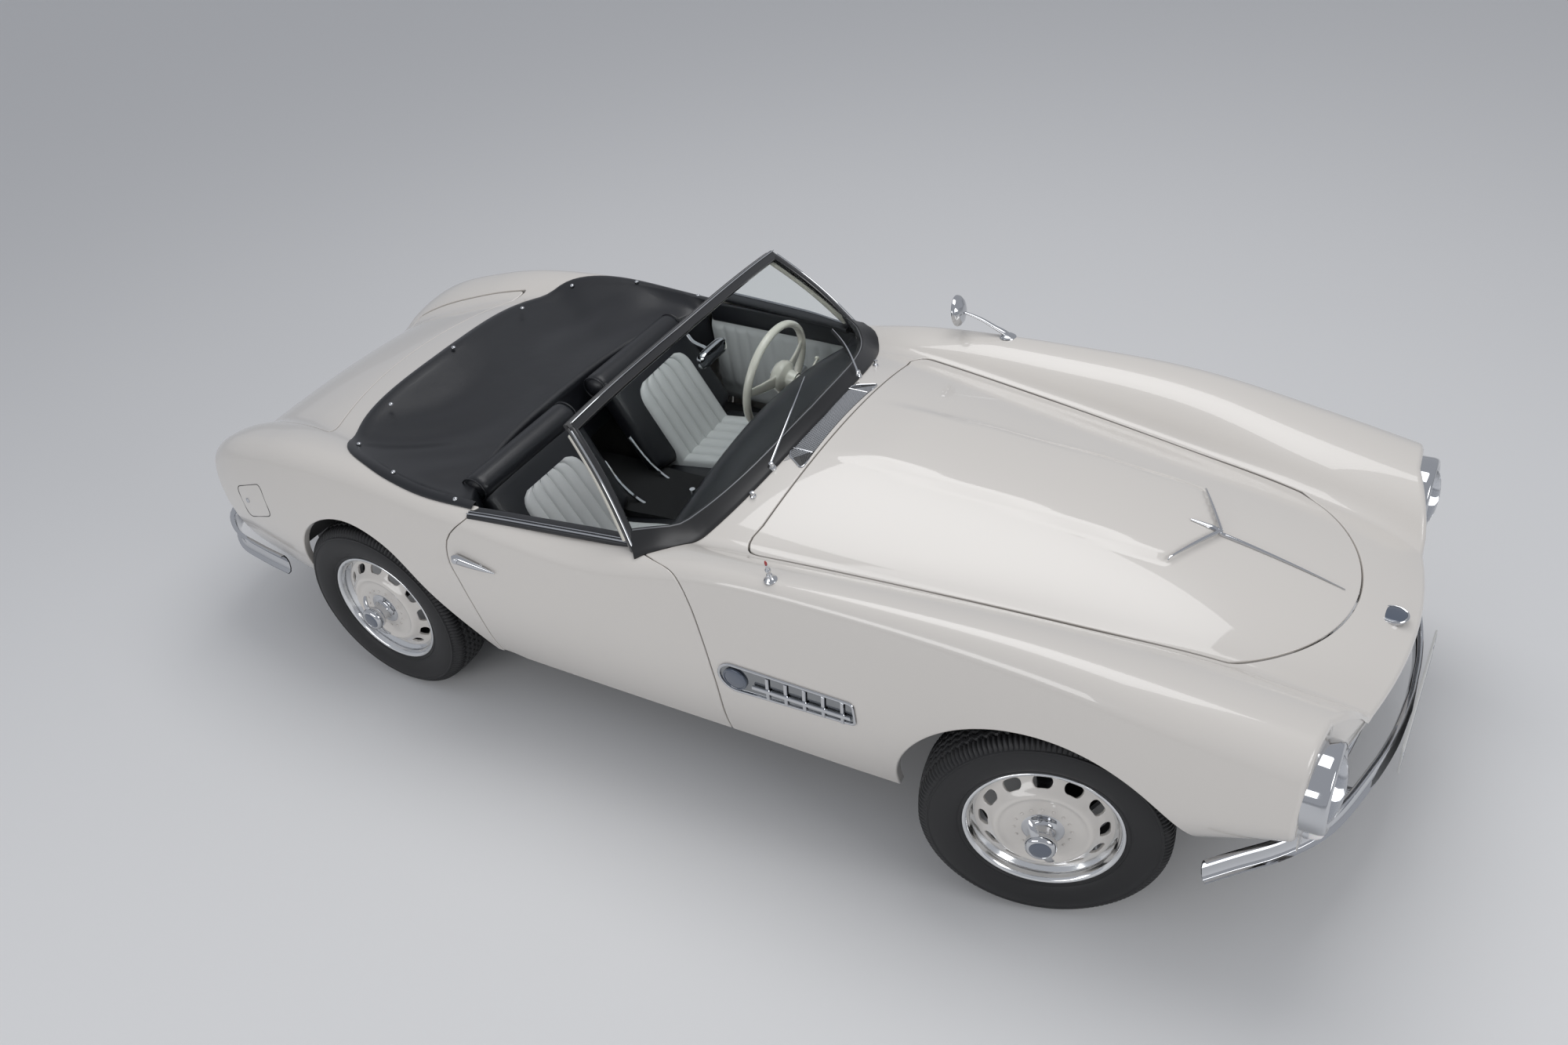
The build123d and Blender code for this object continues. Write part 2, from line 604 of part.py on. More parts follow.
def arm(z):
    """One left suspension arm with the eye that holds the kingpin."""
    with BuildPart() as piece:
        with BuildSketch(Plane.XY.offset(z - ARM_THICKNESS / 2)):
            with BuildLine():
                Polyline(
                    (AXLE_FRONT - TOWER_LENGTH / 2, tower_y),
                    (AXLE_FRONT - half_arm, FRONT_TRACK / 2),
                    (AXLE_FRONT + half_arm, FRONT_TRACK / 2),
                    (AXLE_FRONT + TOWER_LENGTH / 2, tower_y),
                    close=True,
                )
            make_face()
            with Locations((AXLE_FRONT, FRONT_TRACK / 2)):
                Circle(half_arm)
                Circle(KINGPIN_RADIUS + RUNNING_GAP, mode=Mode.SUBTRACT)
        extrude(amount=ARM_THICKNESS)
    return piece.part


tower = box(
    (axle_x - TOWER_LENGTH / 2, axle_x + TOWER_LENGTH / 2),
    (tower_y, tower_y + TOWER_WIDTH),
    (ARM_LOW_Z - ARM_THICKNESS / 2, ARM_HIGH_Z + ARM_THICKNESS / 2),
)
beam = box(
    (axle_x - CROSS_SIZE / 2, axle_x + CROSS_SIZE / 2),
    (-tower_y, tower_y + OVERLAP),
    (seat_z, seat_z + CROSS_SIZE),
)
front_axle = union(both_sides(union(tower, arm(ARM_LOW_Z), arm(ARM_HIGH_Z))), beam)
save(front_axle, "front_axle")

with BuildPart() as rear_axle:
    with BuildSketch(Plane.XZ.offset(-REAR_AXLE_END)):
        with Locations((AXLE_REAR, TYRE_RADIUS)):
            Circle(REAR_TUBE_RADIUS)
    extrude(amount=2 * REAR_AXLE_END)
    with BuildSketch(Plane.XZ.offset(-REAR_STUB_END)):
        with Locations((AXLE_REAR, TYRE_RADIUS)):
            Circle(SPINDLE_RADIUS)
    extrude(amount=2 * REAR_STUB_END)
    with Locations((AXLE_REAR, 0, TYRE_RADIUS)):
        Sphere(DIFFERENTIAL_RADIUS)
    for side in (1, -1):
        with Locations((AXLE_REAR, side * RAIL_Y, (seat_z + TYRE_RADIUS) / 2)):
            Box(CROSS_SIZE, CROSS_SIZE, TYRE_RADIUS - seat_z)
save(rear_axle.part, "rear_axle")

mount_x = (ENGINE_X[0], ENGINE_X[0] + CROSS_SIZE)
engine = union(
    box(ENGINE_X, (-ENGINE_HALF_WIDTH, ENGINE_HALF_WIDTH), ENGINE_Z),
    both_sides(box(mount_x, (0, RAIL_Y), (ENGINE_Z[0], ENGINE_Z[0] + CROSS_SIZE))),
)
mounts = both_sides(
    box(
        mount_x,
        (RAIL_Y - RAIL_WIDTH / 2, RAIL_Y + RAIL_WIDTH / 2),
        (seat_z, ENGINE_Z[0] + OVERLAP),
    )
)
save(union(engine, mounts), "engine_block")

exhaust_z = rail_top - CROSS_SIZE - FIT_GAP - EXHAUST_RADIUS
with BuildPart() as exhaust:
    for y in (-EXHAUST_Y, EXHAUST_Y):
        with BuildSketch(Plane.YZ.offset(X_MID + EXHAUST_X[0])):
            with Locations((y, exhaust_z)):
                Circle(EXHAUST_RADIUS)
        extrude(amount=EXHAUST_X[1] - EXHAUST_X[0])
save(exhaust.part, "exhaust_pipes")

# ---------------------------------------------------------------- front wheels' knuckles
def knuckle(side):
    """Kingpin, upright and spindle of one front wheel, turned as it stands."""
    centre = (AXLE_FRONT, side * FRONT_TRACK / 2)
    with BuildPart() as piece:
        with BuildSketch(Plane.XY.offset(ARM_LOW_Z - ARM_THICKNESS / 2)):
            with Locations(centre):
                Circle(KINGPIN_RADIUS)
        extrude(amount=ARM_HIGH_Z - ARM_LOW_Z + ARM_THICKNESS)
        with BuildSketch(Plane.XY.offset(ARM_LOW_Z + ARM_THICKNESS / 2 + SHUT_GAP)):
            with Locations(centre):
                Circle(KNUCKLE_RADIUS)
        extrude(amount=ARM_HIGH_Z - ARM_LOW_Z - ARM_THICKNESS - 2 * SHUT_GAP)
    with BuildPart() as spindle:
        with BuildSketch(Plane.XZ):
            Circle(SPINDLE_RADIUS)
        extrude(amount=-side * SPINDLE_LENGTH)
    placed = spindle.part.moved(
        Location((centre[0], centre[1], TYRE_RADIUS), (0, 0, STEER_AT_REST))
    )
    return union(piece.part, placed)


save(knuckle(1), "knuckle_left")
save(knuckle(-1), "knuckle_right")

# ---------------------------------------------------------------- road wheels
def tyre():
    """One tyre about the Y axis, its middle plane at y = 0."""
    half = TYRE_WIDTH / 2
    crown = TYRE_RADIUS
    with BuildPart() as piece:
        with BuildSketch(Plane.YZ):
            with BuildLine():
                Line((-TREAD_HALF_WIDTH, crown), (TREAD_HALF_WIDTH, crown))
                for side in (1, -1):
                    TangentArc(
                        (side * half, SIDEWALL_RADIUS),
                        (side * TREAD_HALF_WIDTH, crown),
                        tangent=(0, 1),
                    )
                    TangentArc(
                        (side * half, SIDEWALL_RADIUS),
                        (side * BEAD_Y, TYRE_BEAD_RADIUS),
                        tangent=(0, -1),
                    )
                Line((-BEAD_Y, TYRE_BEAD_RADIUS), (BEAD_Y, TYRE_BEAD_RADIUS))
            make_face()
        revolve(axis=Axis.Y)
    return piece.part


def road_wheel(side):
    """Rim, disc, hub and knock-off nut about the Y axis, outboard towards side."""
    rim_outer = TYRE_BEAD_RADIUS - FIT_GAP
    rim_inner = rim_outer - RIM_WALL
    half = RIM_DEPTH / 2
    disc_in = DISC_OUTBOARD - DISC_THICKNESS
    ridge = DISC_OUTBOARD + DISC_RISE
    with BuildPart() as piece:
        with BuildSketch(Plane.YZ):
            with BuildLine():
                Polyline(
                    (-half, rim_inner),
                    (disc_in, rim_inner),
                    (ridge - DISC_THICKNESS, RIDGE_RADIUS),
                    (HUB_INBOARD, HUB_RADIUS),
                    (HUB_INBOARD, HUB_BORE_RADIUS),
                    (SPINDLE_LENGTH + SHUT_GAP, HUB_BORE_RADIUS),
                    (SPINDLE_LENGTH + SHUT_GAP, 0),
                    (KNOCK_OFF_REACH, 0),
                    (KNOCK_OFF_REACH, KNOCK_OFF_RADIUS),
                    (KNOCK_OFF_REACH - KNOCK_OFF_DEPTH, KNOCK_OFF_RADIUS),
                    (KNOCK_OFF_REACH - KNOCK_OFF_DEPTH, NECK_RADIUS),
                    (ridge - HUB_SINK, HUB_RADIUS),
                    (ridge, RIDGE_RADIUS),
                    (DISC_OUTBOARD, rim_inner),
                    (half, rim_inner),
                    (half, rim_outer),
                    (-half, rim_outer),
                    close=True,
                )
            make_face()
        revolve(axis=Axis.Y)
        with BuildSketch(Plane.XZ.offset(-KNOCK_OFF_REACH + EAR_DEPTH)):
            Rectangle(2 * EAR_LENGTH, EAR_WIDTH)
        extrude(amount=-EAR_DEPTH)
        with BuildSketch(Plane.XZ.offset(-ridge)):
            with PolarLocations(SLOT_RADIUS, SLOT_COUNT):
                with Locations(Location((0, 0), 90)):
                    SlotOverall(SLOT_LENGTH, SLOT_WIDTH)
        extrude(amount=DISC_RISE + DISC_THICKNESS, mode=Mode.SUBTRACT)
    wheel = piece.part
    if side < 0:
        wheel = mirrored(wheel)
    return wheel


tyre_solid = tyre()
for name, x, y, turn in (
    ("front_left", AXLE_FRONT, FRONT_TRACK / 2, STEER_AT_REST),
    ("front_right", AXLE_FRONT, -FRONT_TRACK / 2, STEER_AT_REST),
    ("rear_left", AXLE_REAR, REAR_TRACK / 2, 0.0),
    ("rear_right", AXLE_REAR, -REAR_TRACK / 2, 0.0),
):
    place = Location((x, y, TYRE_RADIUS), (0, 0, turn))
    save(tyre_solid.moved(place), f"tyre_{name}")
    save(road_wheel(1 if y > 0 else -1).moved(place), f"wheel_{name}")

# ---------------------------------------------------------------- cockpit
with BuildPart() as cushions:
    with BuildSketch(Plane.XZ.offset(-SEAT_Y - SEAT_HALF_WIDTH)):
        with BuildLine():
            Polyline(
                (X_MID + SEAT_FRONT, floor_top + FIT_GAP),
                (X_MID + SEAT_FRONT, SEAT_TOP_FRONT),
                (X_MID + SEAT_REAR, SEAT_TOP_REAR),
                (X_MID + SEAT_REAR, floor_top + FIT_GAP),
                close=True,
            )
        make_face()
    extrude(amount=2 * SEAT_HALF_WIDTH)
save(both_sides(cushions.part), "seat_cushions")

with BuildPart() as backs:
    with BuildSketch(Plane.XZ.offset(-SEAT_Y - SEAT_HALF_WIDTH)):
        with BuildLine():
            front_foot = (X_MID + SEAT_REAR - FIT_GAP, floor_top + FIT_GAP)
            Polyline(
                front_foot,
                (X_MID + SEAT_REAR - FIT_GAP, SEAT_TOP_REAR),
                (X_MID + SEAT_BACK_TOP[0] + SEAT_BACK_THICKNESS, SEAT_BACK_TOP[1]),
                (X_MID + SEAT_BACK_TOP[0], SEAT_BACK_TOP[1]),
                (X_MID + SEAT_REAR - SEAT_BACK_THICKNESS, floor_top + FIT_GAP),
                close=True,
            )
        make_face()
    extrude(amount=2 * SEAT_HALF_WIDTH)
save(both_sides(backs.part), "seat_backs")

wheel_place = Location(
    (X_MID + STEER_WHEEL_CENTRE[0], STEER_WHEEL_CENTRE[1], STEER_WHEEL_CENTRE[2]),
    (0, -90 + STEER_TILT, 0),
)
with BuildPart() as steering_wheel:
    with BuildSketch(Plane.XZ):
        with Locations((STEER_WHEEL_RADIUS, 0)):
            Circle(STEER_RIM_RADIUS)
    revolve(axis=Axis.Z)
    with BuildSketch(Plane.XY.offset(-BOSS_DEPTH)):
        Circle(BOSS_RADIUS)
    extrude(amount=2 * BOSS_DEPTH)
    with BuildSketch(Plane.XY.offset(-SPOKE_THICKNESS / 2)):
        with PolarLocations(0, 3):
            with Locations((STEER_WHEEL_RADIUS / 2, 0)):
                Rectangle(STEER_WHEEL_RADIUS, SPOKE_WIDTH)
    extrude(amount=SPOKE_THICKNESS)
    with BuildSketch(Plane.XY.offset(-BOSS_DEPTH)):
        Circle(SHAFT_RADIUS)
    extrude(amount=-SHAFT_LENGTH)
save(steering_wheel.part.moved(wheel_place), "steering_wheel")

with BuildPart() as column:
    with BuildSketch(Plane.XY.offset(-BOSS_DEPTH - SHUT_GAP)):
        Circle(COLUMN_RADIUS)
        Circle(SHAFT_RADIUS + RUNNING_GAP, mode=Mode.SUBTRACT)
    extrude(amount=-COLUMN_LENGTH)
column_part = difference(
    column.part.moved(wheel_place),
    box((FLOOR_FRONT - WALL - FIT_GAP, TOOL_REACH), (0, ENVELOPE_HALF_WIDTH), (0, TOOL_REACH)),
)
save(column_part, "steering_column")

with BuildPart() as column_hole:
    with BuildSketch(Plane.XY):
        Circle(COLUMN_RADIUS + FIT_GAP)
    extrude(amount=-COLUMN_LENGTH)
dash_block = box(
    (DASH_REAR, DASH_FRONT),
    (-FOOTWELL_HALF_WIDTH, FOOTWELL_HALF_WIDTH),
    (DASH_BOTTOM, TOOL_REACH),
)
dashboard = difference(common(dash_block, inner_clear), column_hole.part.moved(wheel_place))
save(dashboard, "dashboard")


with BuildPart() as controls:
    for x, y, radius, top in CONTROLS:
        stands_on = TUNNEL_TOP if abs(y) < TUNNEL_HALF_WIDTH else floor_top
        with BuildSketch(Plane.XY.offset(stands_on + FIT_GAP)):
            with Locations((X_MID + x, y)):
                Circle(radius)
        extrude(amount=top - stands_on)
save(controls.part, "driver_controls")

# ---------------------------------------------------------------- windscreen
def screen_band(depth, border, low, high):
    """The raked screen between two heights: thickness depth, ends drawn in by border."""
    span = SCREEN_HEAD_Z - SCREEN_FOOT_Z

    def outline(z):
        share = (z - SCREEN_FOOT_Z) / span
        side_x = SCREEN_FOOT_SIDE[0] + share * (SCREEN_HEAD_SIDE[0] - SCREEN_FOOT_SIDE[0])
        side_y = SCREEN_FOOT_SIDE[1] + share * (SCREEN_HEAD_SIDE[1] - SCREEN_FOOT_SIDE[1]) - border
        centre = SCREEN_FOOT_X + share * (SCREEN_HEAD_X - SCREEN_FOOT_X)
        centre -= border * 0
        with BuildSketch(Plane.XY.offset(z)) as sketch:
            with BuildLine():
                for shift in (depth / 2, -depth / 2):
                    ThreePointArc(
                        (X_MID + side_x + shift, -side_y),
                        (X_MID + centre + shift, 0),
                        (X_MID + side_x + shift, side_y),
                    )
                for side in (1, -1):
                    Line(
                        (X_MID + side_x + depth / 2, side * side_y),
                        (X_MID + side_x - depth / 2, side * side_y),
                    )
            make_face()
        return sketch.sketch

    with BuildPart() as band:
        loft(sections=[outline(low), outline(high)], ruled=True)
    return band.part


frame_foot = body_solid(-FRAME_BORDER)
screen_window = difference(
    screen_band(2 * FRAME_DEPTH, FRAME_BORDER, SCREEN_FOOT_Z, SCREEN_HEAD_Z - FRAME_BORDER),
    frame_foot,
)
screen_frame = difference(
    screen_band(FRAME_DEPTH, 0, SCREEN_FOOT_Z, SCREEN_HEAD_Z), outer_clear, screen_window
)
save(screen_frame, "windscreen_frame")
glass = common(
    screen_window,
    screen_band(GLASS_DEPTH, FRAME_BORDER + FIT_GAP, SCREEN_FOOT_Z, SCREEN_HEAD_Z - FRAME_BORDER - FIT_GAP),
)
save(glass, "windscreen_glass")


# ---------------------------------------------------------------- outside fittings
def side_patch(x, z, thickness):
    """A patch on the left side skin between (low, high) limits of x and z."""
    return difference(
        common(body_solid(-thickness), box(x, (ARCH_INNER_Y, ENVELOPE_HALF_WIDTH), z)), outer_clear
    )


def bar(start, end, radius):
    """A straight round bar between two points."""
    low = Vector(X_MID + start[0], start[1], start[2])
    high = Vector(X_MID + end[0], end[1], end[2])
    with BuildPart() as piece:
        with BuildSketch(Plane(origin=low, z_dir=high - low)):
            Circle(radius)
        extrude(amount=(high - low).length)
    return piece.part


handle_left = side_patch(HANDLE_X, HANDLE_Z, HANDLE_THICKNESS)
save(handle_left, "door_handle_left")
save(mirrored(handle_left), "door_handle_right")
save(both_sides(side_patch(VENT_X, VENT_Z, VENT_THICKNESS)), "side_vents")

scuttle = difference(
    common(
        body_solid(-VENT_THICKNESS),
        box(SCUTTLE_X, (-SCUTTLE_HALF_WIDTH, SCUTTLE_HALF_WIDTH), (LID_TOOL_Z, TOOL_REACH)),
    ),
    outer_clear,
)
save(scuttle, "scuttle_grille")

trim_height = body_solid(-TRIM_RISE)
spear = box((SPEAR_X[0], SPEAR_X[1]), (-SPEAR_WIDTH / 2, SPEAR_WIDTH / 2), (LID_TOOL_Z, TOOL_REACH))
with BuildPart() as chevron:
    with BuildSketch(Plane.XY.offset(LID_TOOL_Z)):
        with BuildLine():
            Polyline(
                (X_MID + CHEVRON_TIP, 0),
                (X_MID + CHEVRON_END[0], CHEVRON_END[1]),
                (X_MID + CHEVRON_END[0] - SPEAR_WIDTH, CHEVRON_END[1]),
                (X_MID + CHEVRON_TIP - SPEAR_WIDTH, 0),
                (X_MID + CHEVRON_END[0] - SPEAR_WIDTH, -CHEVRON_END[1]),
                (X_MID + CHEVRON_END[0], -CHEVRON_END[1]),
                close=True,
            )
        make_face()
    extrude(amount=TOOL_REACH)
save(difference(common(union(spear, chevron.part), trim_height), outer_clear), "bonnet_trim")

bezel_circles, lens_room, lens_circles = [
    [(side * LAMP_Y, LAMP_Z, radius) for side in (1, -1)]
    for radius in (LAMP_BEZEL_RADIUS, LAMP_LENS_RADIUS + FIT_GAP, LAMP_LENS_RADIUS)
]
bezels = difference(
    lengthwise(LAMP_X - 2 * BEZEL_REACH, bezel_circles, 3 * BEZEL_REACH),
    lengthwise(LAMP_X - TOOL_REACH, lens_room, 2 * TOOL_REACH),
    outer_clear,
)
save(bezels, "headlamp_bezels")
save(lengthwise(LAMP_X - LAMP_DEPTH, lens_circles, LAMP_DEPTH + BEZEL_REACH), "headlamps")
save(
    difference(
        lengthwise(
            INDICATOR_X - LAMP_DEPTH,
            [(side * INDICATOR_Y, INDICATOR_Z, INDICATOR_RADIUS) for side in (1, -1)],
            LAMP_DEPTH + INDICATOR_LENGTH,
        ),
        outer_clear,
    ),
    "indicators",
)
save(
    difference(
        lengthwise(
            TAIL_LAMP_X - INDICATOR_LENGTH,
            [(side * TAIL_LAMP_Y, TAIL_LAMP_Z, TAIL_LAMP_RADIUS) for side in (1, -1)],
            INDICATOR_LENGTH + LAMP_DEPTH,
        ),
        outer_clear,
    ),
    "tail_lamps",
)

grille_zone = difference(body_solid(-VENT_THICKNESS), body_solid(GRILLE_DEPTH))
grille_ring = difference(
    slot_prism(-FIT_GAP, GRILLE_X, TOOL_REACH), slot_prism(-GRILLE_FRAME, GRILLE_X, TOOL_REACH)
)
slat_zone = difference(outer, body_solid(GRILLE_DEPTH))
slat_count = int((GRILLE_TOP - GRILLE_BOTTOM) / SLAT_PITCH)
slats = [
    box(
        (GRILLE_X, TOOL_REACH * 2),
        (-GRILLE_OUT, GRILLE_OUT),
        (
            GRILLE_BOTTOM + SLAT_PITCH * (index + 1) - SLAT_THICKNESS / 2,
            GRILLE_BOTTOM + SLAT_PITCH * (index + 1) + SLAT_THICKNESS / 2,
        ),
    )
    for index in range(slat_count)
]
slat_part = common(union(*slats), slot_prism(OVERLAP - GRILLE_FRAME, GRILLE_X, TOOL_REACH), slat_zone)
save(union(common(grille_ring, grille_zone), slat_part), "grilles")


def bumper(centre_x, corner_x, corner_y, end, bracket_x, bracket_y, bracket_z):
    """A bowed blade with wrapped ends and two brackets that meet the body."""
    forward = 1 if centre_x > 0 else -1
    bow = abs(centre_x - corner_x)
    radius = (corner_y**2 + bow**2) / (2 * bow)
    lean = asin(corner_y / radius)
    with BuildPart() as piece:
        with BuildSketch(Plane.XY.offset(BLADE_BOTTOM)):
            with BuildLine():
                ThreePointArc(
                    (X_MID + corner_x, -corner_y), (X_MID + centre_x, 0), (X_MID + corner_x, corner_y)
                )
                for side in (1, -1):
                    TangentArc(
                        (X_MID + corner_x, side * corner_y),
                        (X_MID + end[0], side * end[1]),
                        tangent=(-forward * sin(lean), side * cos(lean)),
                    )
                Line((X_MID + end[0], end[1]), (X_MID + end[0], -end[1]))
            make_face()
            offset(amount=-BLADE_THICKNESS, mode=Mode.SUBTRACT)
            with Locations((X_MID + end[0], 0)):
                opening = 2 * (end[1] - BLADE_THICKNESS - OVERLAP)
                Rectangle(3 * BLADE_THICKNESS, opening, mode=Mode.SUBTRACT)
        extrude(amount=BLADE_HEIGHT)
        blade_back = BLADE_THICKNESS + bow * (bracket_y / corner_y) ** 2
        inner_face = centre_x - forward * (blade_back - 2 * OVERLAP)
        for side in (1, -1):
            with Locations(
                (X_MID + (bracket_x + inner_face) / 2, side * bracket_y, bracket_z + BRACKET_HEIGHT / 2)
            ):
                Box(abs(inner_face - bracket_x), BRACKET_WIDTH, BRACKET_HEIGHT)
    return difference(piece.part, outer_clear)


bracket_z = BLADE_BOTTOM + BRACKET_HEIGHT
iron = box(
    (BRACKET_FRONT_X, BRACKET_FRONT_X + IRON_LENGTH),
    (RAIL_Y - BRACKET_WIDTH / 2, RAIL_Y + BRACKET_WIDTH / 2),
    (seat_z, bracket_z + BRACKET_HEIGHT),
)
front_blade = bumper(*BUMPER_FRONT, BUMPER_FRONT_END, BRACKET_FRONT_X, RAIL_Y, bracket_z)
save(union(front_blade, both_sides(iron)), "front_bumper")
save(bumper(*BUMPER_REAR, BUMPER_REAR_END, BRACKET_REAR_X, BRACKET_Y, bracket_z), "rear_bumper")

save(
    difference(
        union(
            bar(MIRROR_FOOT, MIRROR_HEAD, MIRROR_ARM_RADIUS),
            bar(MIRROR_HEAD, (MIRROR_HEAD[0] - MIRROR_DEPTH, MIRROR_HEAD[1], MIRROR_HEAD[2]), MIRROR_RADIUS),
        ),
        outer_clear,
    ),
    "wing_mirror",
)
save(
    difference(bar(AERIAL_FOOT, (AERIAL_FOOT[0], AERIAL_FOOT[1], AERIAL_TOP), AERIAL_RADIUS), outer_clear),
    "aerial",
)
wiper_parts = []
for side, low, high in WIPERS:
    knee = tuple((a + b) / 2 for a, b in zip(low, high))
    top = (WIPER_PIVOT[0], side * WIPER_PIVOT[1], WIPER_PIVOT[2] + WIPER_STAND)
    wiper_parts += [
        bar((top[0], top[1], WIPER_PIVOT[2] - SKIN), top, WIPER_POST_RADIUS),
        bar((top[0], top[1], top[2] - WIPER_ARM_RADIUS), knee, WIPER_ARM_RADIUS),
        bar(low, high, WIPER_ARM_RADIUS),
    ]
screen_room = screen_band(FRAME_DEPTH + OVERLAP, -FRAME_DEPTH, SCREEN_FOOT_Z, SCREEN_HEAD_Z)
save(difference(union(*wiper_parts), outer_clear, screen_room), "wipers")

mirror_stem_top = SCREEN_HEAD_Z - FRAME_BORDER / 2
save(
    difference(
        union(
            box(
                (CABIN_MIRROR[0] - CABIN_MIRROR_HALF_DEPTH, CABIN_MIRROR[0] + CABIN_MIRROR_HALF_DEPTH),
                (-CABIN_MIRROR_HALF_WIDTH, CABIN_MIRROR_HALF_WIDTH),
                (CABIN_MIRROR[1] - CABIN_MIRROR_HALF_HEIGHT, CABIN_MIRROR[1] + CABIN_MIRROR_HALF_HEIGHT),
            ),
            bar((CABIN_MIRROR[0], 0, CABIN_MIRROR[1]), (SCREEN_HEAD_X, 0, mirror_stem_top), WIPER_ARM_RADIUS),
        ),
        screen_band(FRAME_DEPTH + 2 * FIT_GAP, -OVERLAP, SCREEN_FOOT_Z, SCREEN_HEAD_Z + OVERLAP),
    ),
    "cabin_mirror",
)

with BuildPart() as plates:
    for x, z, facing in PLATES:
        with BuildSketch(Plane(origin=(X_MID + x, 0, z), x_dir=(0, 1, 0), z_dir=(facing, 0, 0))):
            RectangleRounded(PLATE_WIDTH, PLATE_HEIGHT, PLATE_CORNER)
            with GridLocations(PLATE_HOLE_PITCH, 0, 2, 1):
                Circle(PLATE_HOLE_RADIUS, mode=Mode.SUBTRACT)
        extrude(amount=PLATE_THICKNESS)
pad = box(
    (BUMPER_FRONT[0] + FIT_GAP, BUMPER_FRONT[0] + PLATE_AHEAD + OVERLAP),
    (-PLATE_PAD[0] / 2, PLATE_PAD[0] / 2),
    (PLATES[0][1] - PLATE_PAD[1] / 2, PLATES[0][1] + PLATE_PAD[1] / 2),
)
save(union(plates.part, pad), "number_plates")

# ---------------------------------------------------------------- cover behind the seats
with BuildPart() as cover_profile:
    with BuildSketch(Plane.XZ.offset(-COCKPIT_FRONT[1])):
        with BuildLine():
            upper = [(X_MID + x, z) for x, z in COVER_LINE]
            lower = [(x, z - COVER_THICKNESS) for x, z in reversed(upper)]
            Polyline(*upper, *lower, close=True)
        make_face()
    extrude(amount=2 * COCKPIT_FRONT[1])
cover = common(cover_profile.part, cockpit_plan(-FIT_GAP))
save(cover, "tonneau_cover")
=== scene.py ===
"""Dresses the roadster's frame: panels, wheels, cockpit, brightwork, stage and camera."""

import json
import math

import bmesh
import bpy
import numpy as np
from bpy.props import FloatProperty, FloatVectorProperty, PointerProperty
from mathutils import Matrix, Vector


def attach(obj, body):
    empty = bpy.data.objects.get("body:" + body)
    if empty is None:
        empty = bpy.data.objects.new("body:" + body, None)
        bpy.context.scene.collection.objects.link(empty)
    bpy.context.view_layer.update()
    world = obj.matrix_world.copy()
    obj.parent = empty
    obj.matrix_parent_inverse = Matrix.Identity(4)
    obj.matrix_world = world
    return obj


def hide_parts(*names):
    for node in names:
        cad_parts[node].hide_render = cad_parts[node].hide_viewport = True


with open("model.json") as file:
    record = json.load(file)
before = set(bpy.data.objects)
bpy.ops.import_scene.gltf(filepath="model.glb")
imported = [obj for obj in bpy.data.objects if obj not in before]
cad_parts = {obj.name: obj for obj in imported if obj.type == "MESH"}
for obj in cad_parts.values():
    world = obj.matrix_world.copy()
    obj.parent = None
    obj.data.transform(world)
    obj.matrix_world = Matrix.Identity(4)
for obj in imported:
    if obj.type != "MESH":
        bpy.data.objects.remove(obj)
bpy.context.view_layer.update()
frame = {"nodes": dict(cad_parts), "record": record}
JOINTS = {joint["name"]: joint for joint in frame["record"]["behaviour"]["joints"]}

bl_info = {
    "name": "Roadster dressing",
    "version": (1, 0, 0),
    "blender": (4, 5, 0),
    "location": "View3D > Sidebar > Roadster",
    "description": "Builds the roadster's panels, wheels, cockpit and brightwork on its frame",
    "category": "Add Mesh",
}

# ---------------------------------------------------------------- places, in metres
AXLE_FRONT = JOINTS["spin_front_left"]["pos_m"][0]
AXLE_REAR = JOINTS["spin_rear_left"]["pos_m"][0]
MID = (AXLE_FRONT + AXLE_REAR) / 2      # stations are counted from the middle of the wheelbase

# Body sections. x station; zc crown; yv, zv valley beside the lid; yf, zf top of the
# wing; yw, zw widest; ys, zs sill.
SECTIONS = np.array([
    (-2.300, .600, .380, .585, .542, .609, .640, .500, .580, .360),
    (-2.050, .760, .420, .742, .605, .801, .715, .582, .640, .340),
    (-1.700, .893, .480, .859, .655, .911, .780, .602, .690, .310),
    (-1.240, .980, .580, .913, .691, .948, .815, .609, .740, .290),
    (-0.750, .985, .600, .901, .700, .910, .817, .629, .745, .285),
    (-0.200, .985, .599, .882, .697, .879, .812, .640, .745, .280),
    (0.250, .990, .596, .878, .721, .928, .810, .645, .745, .280),
    (0.750, .955, .540, .841, .715, .943, .814, .638, .745, .280),
    (1.240, .900, .478, .792, .693, .930, .817, .623, .745, .290),
    (1.600, .822, .419, .753, .662, .877, .799, .605, .735, .425),
    (1.900, .725, .386, .687, .637, .824, .766, .625, .700, .515),
    (2.100, .640, .340, .603, .618, .790, .735, .610, .660, .535),
])
WING_TURN = math.radians(72)
# Ends in plan at three heights: z, nose centre, nose corner, tail centre, tail corner.
ENDS = np.array([
    (.150, 1.850, 1.880, -2.060, -1.985),
    (.690, 2.028, 1.915, -2.190, -2.120),
    (1.150, 2.028, 1.915, -2.190, -2.120),
])
CORNER_Y = .560
SIDE_SLANT = .030
ENVELOPE_Y = .900

# Outlines in plan, half of each, from the centre line to the centre line.
BONNET = dict(rear=(.262, .598), front=(1.620, .403), nose=1.866, back=.300, corner=.060)
BOOT = dict(front=(-1.500, .560), rear=(-2.055, .455), front_x=-1.600, nose=-2.120, corner=.045)
COCKPIT = [(.120, 0), (.060, .40), (-.060, .690), (-.400, .690), (-.683, .715), (-.939, .725),
           (-1.120, .700), (-1.300, .625), (-1.385, .500), (-1.405, 0)]
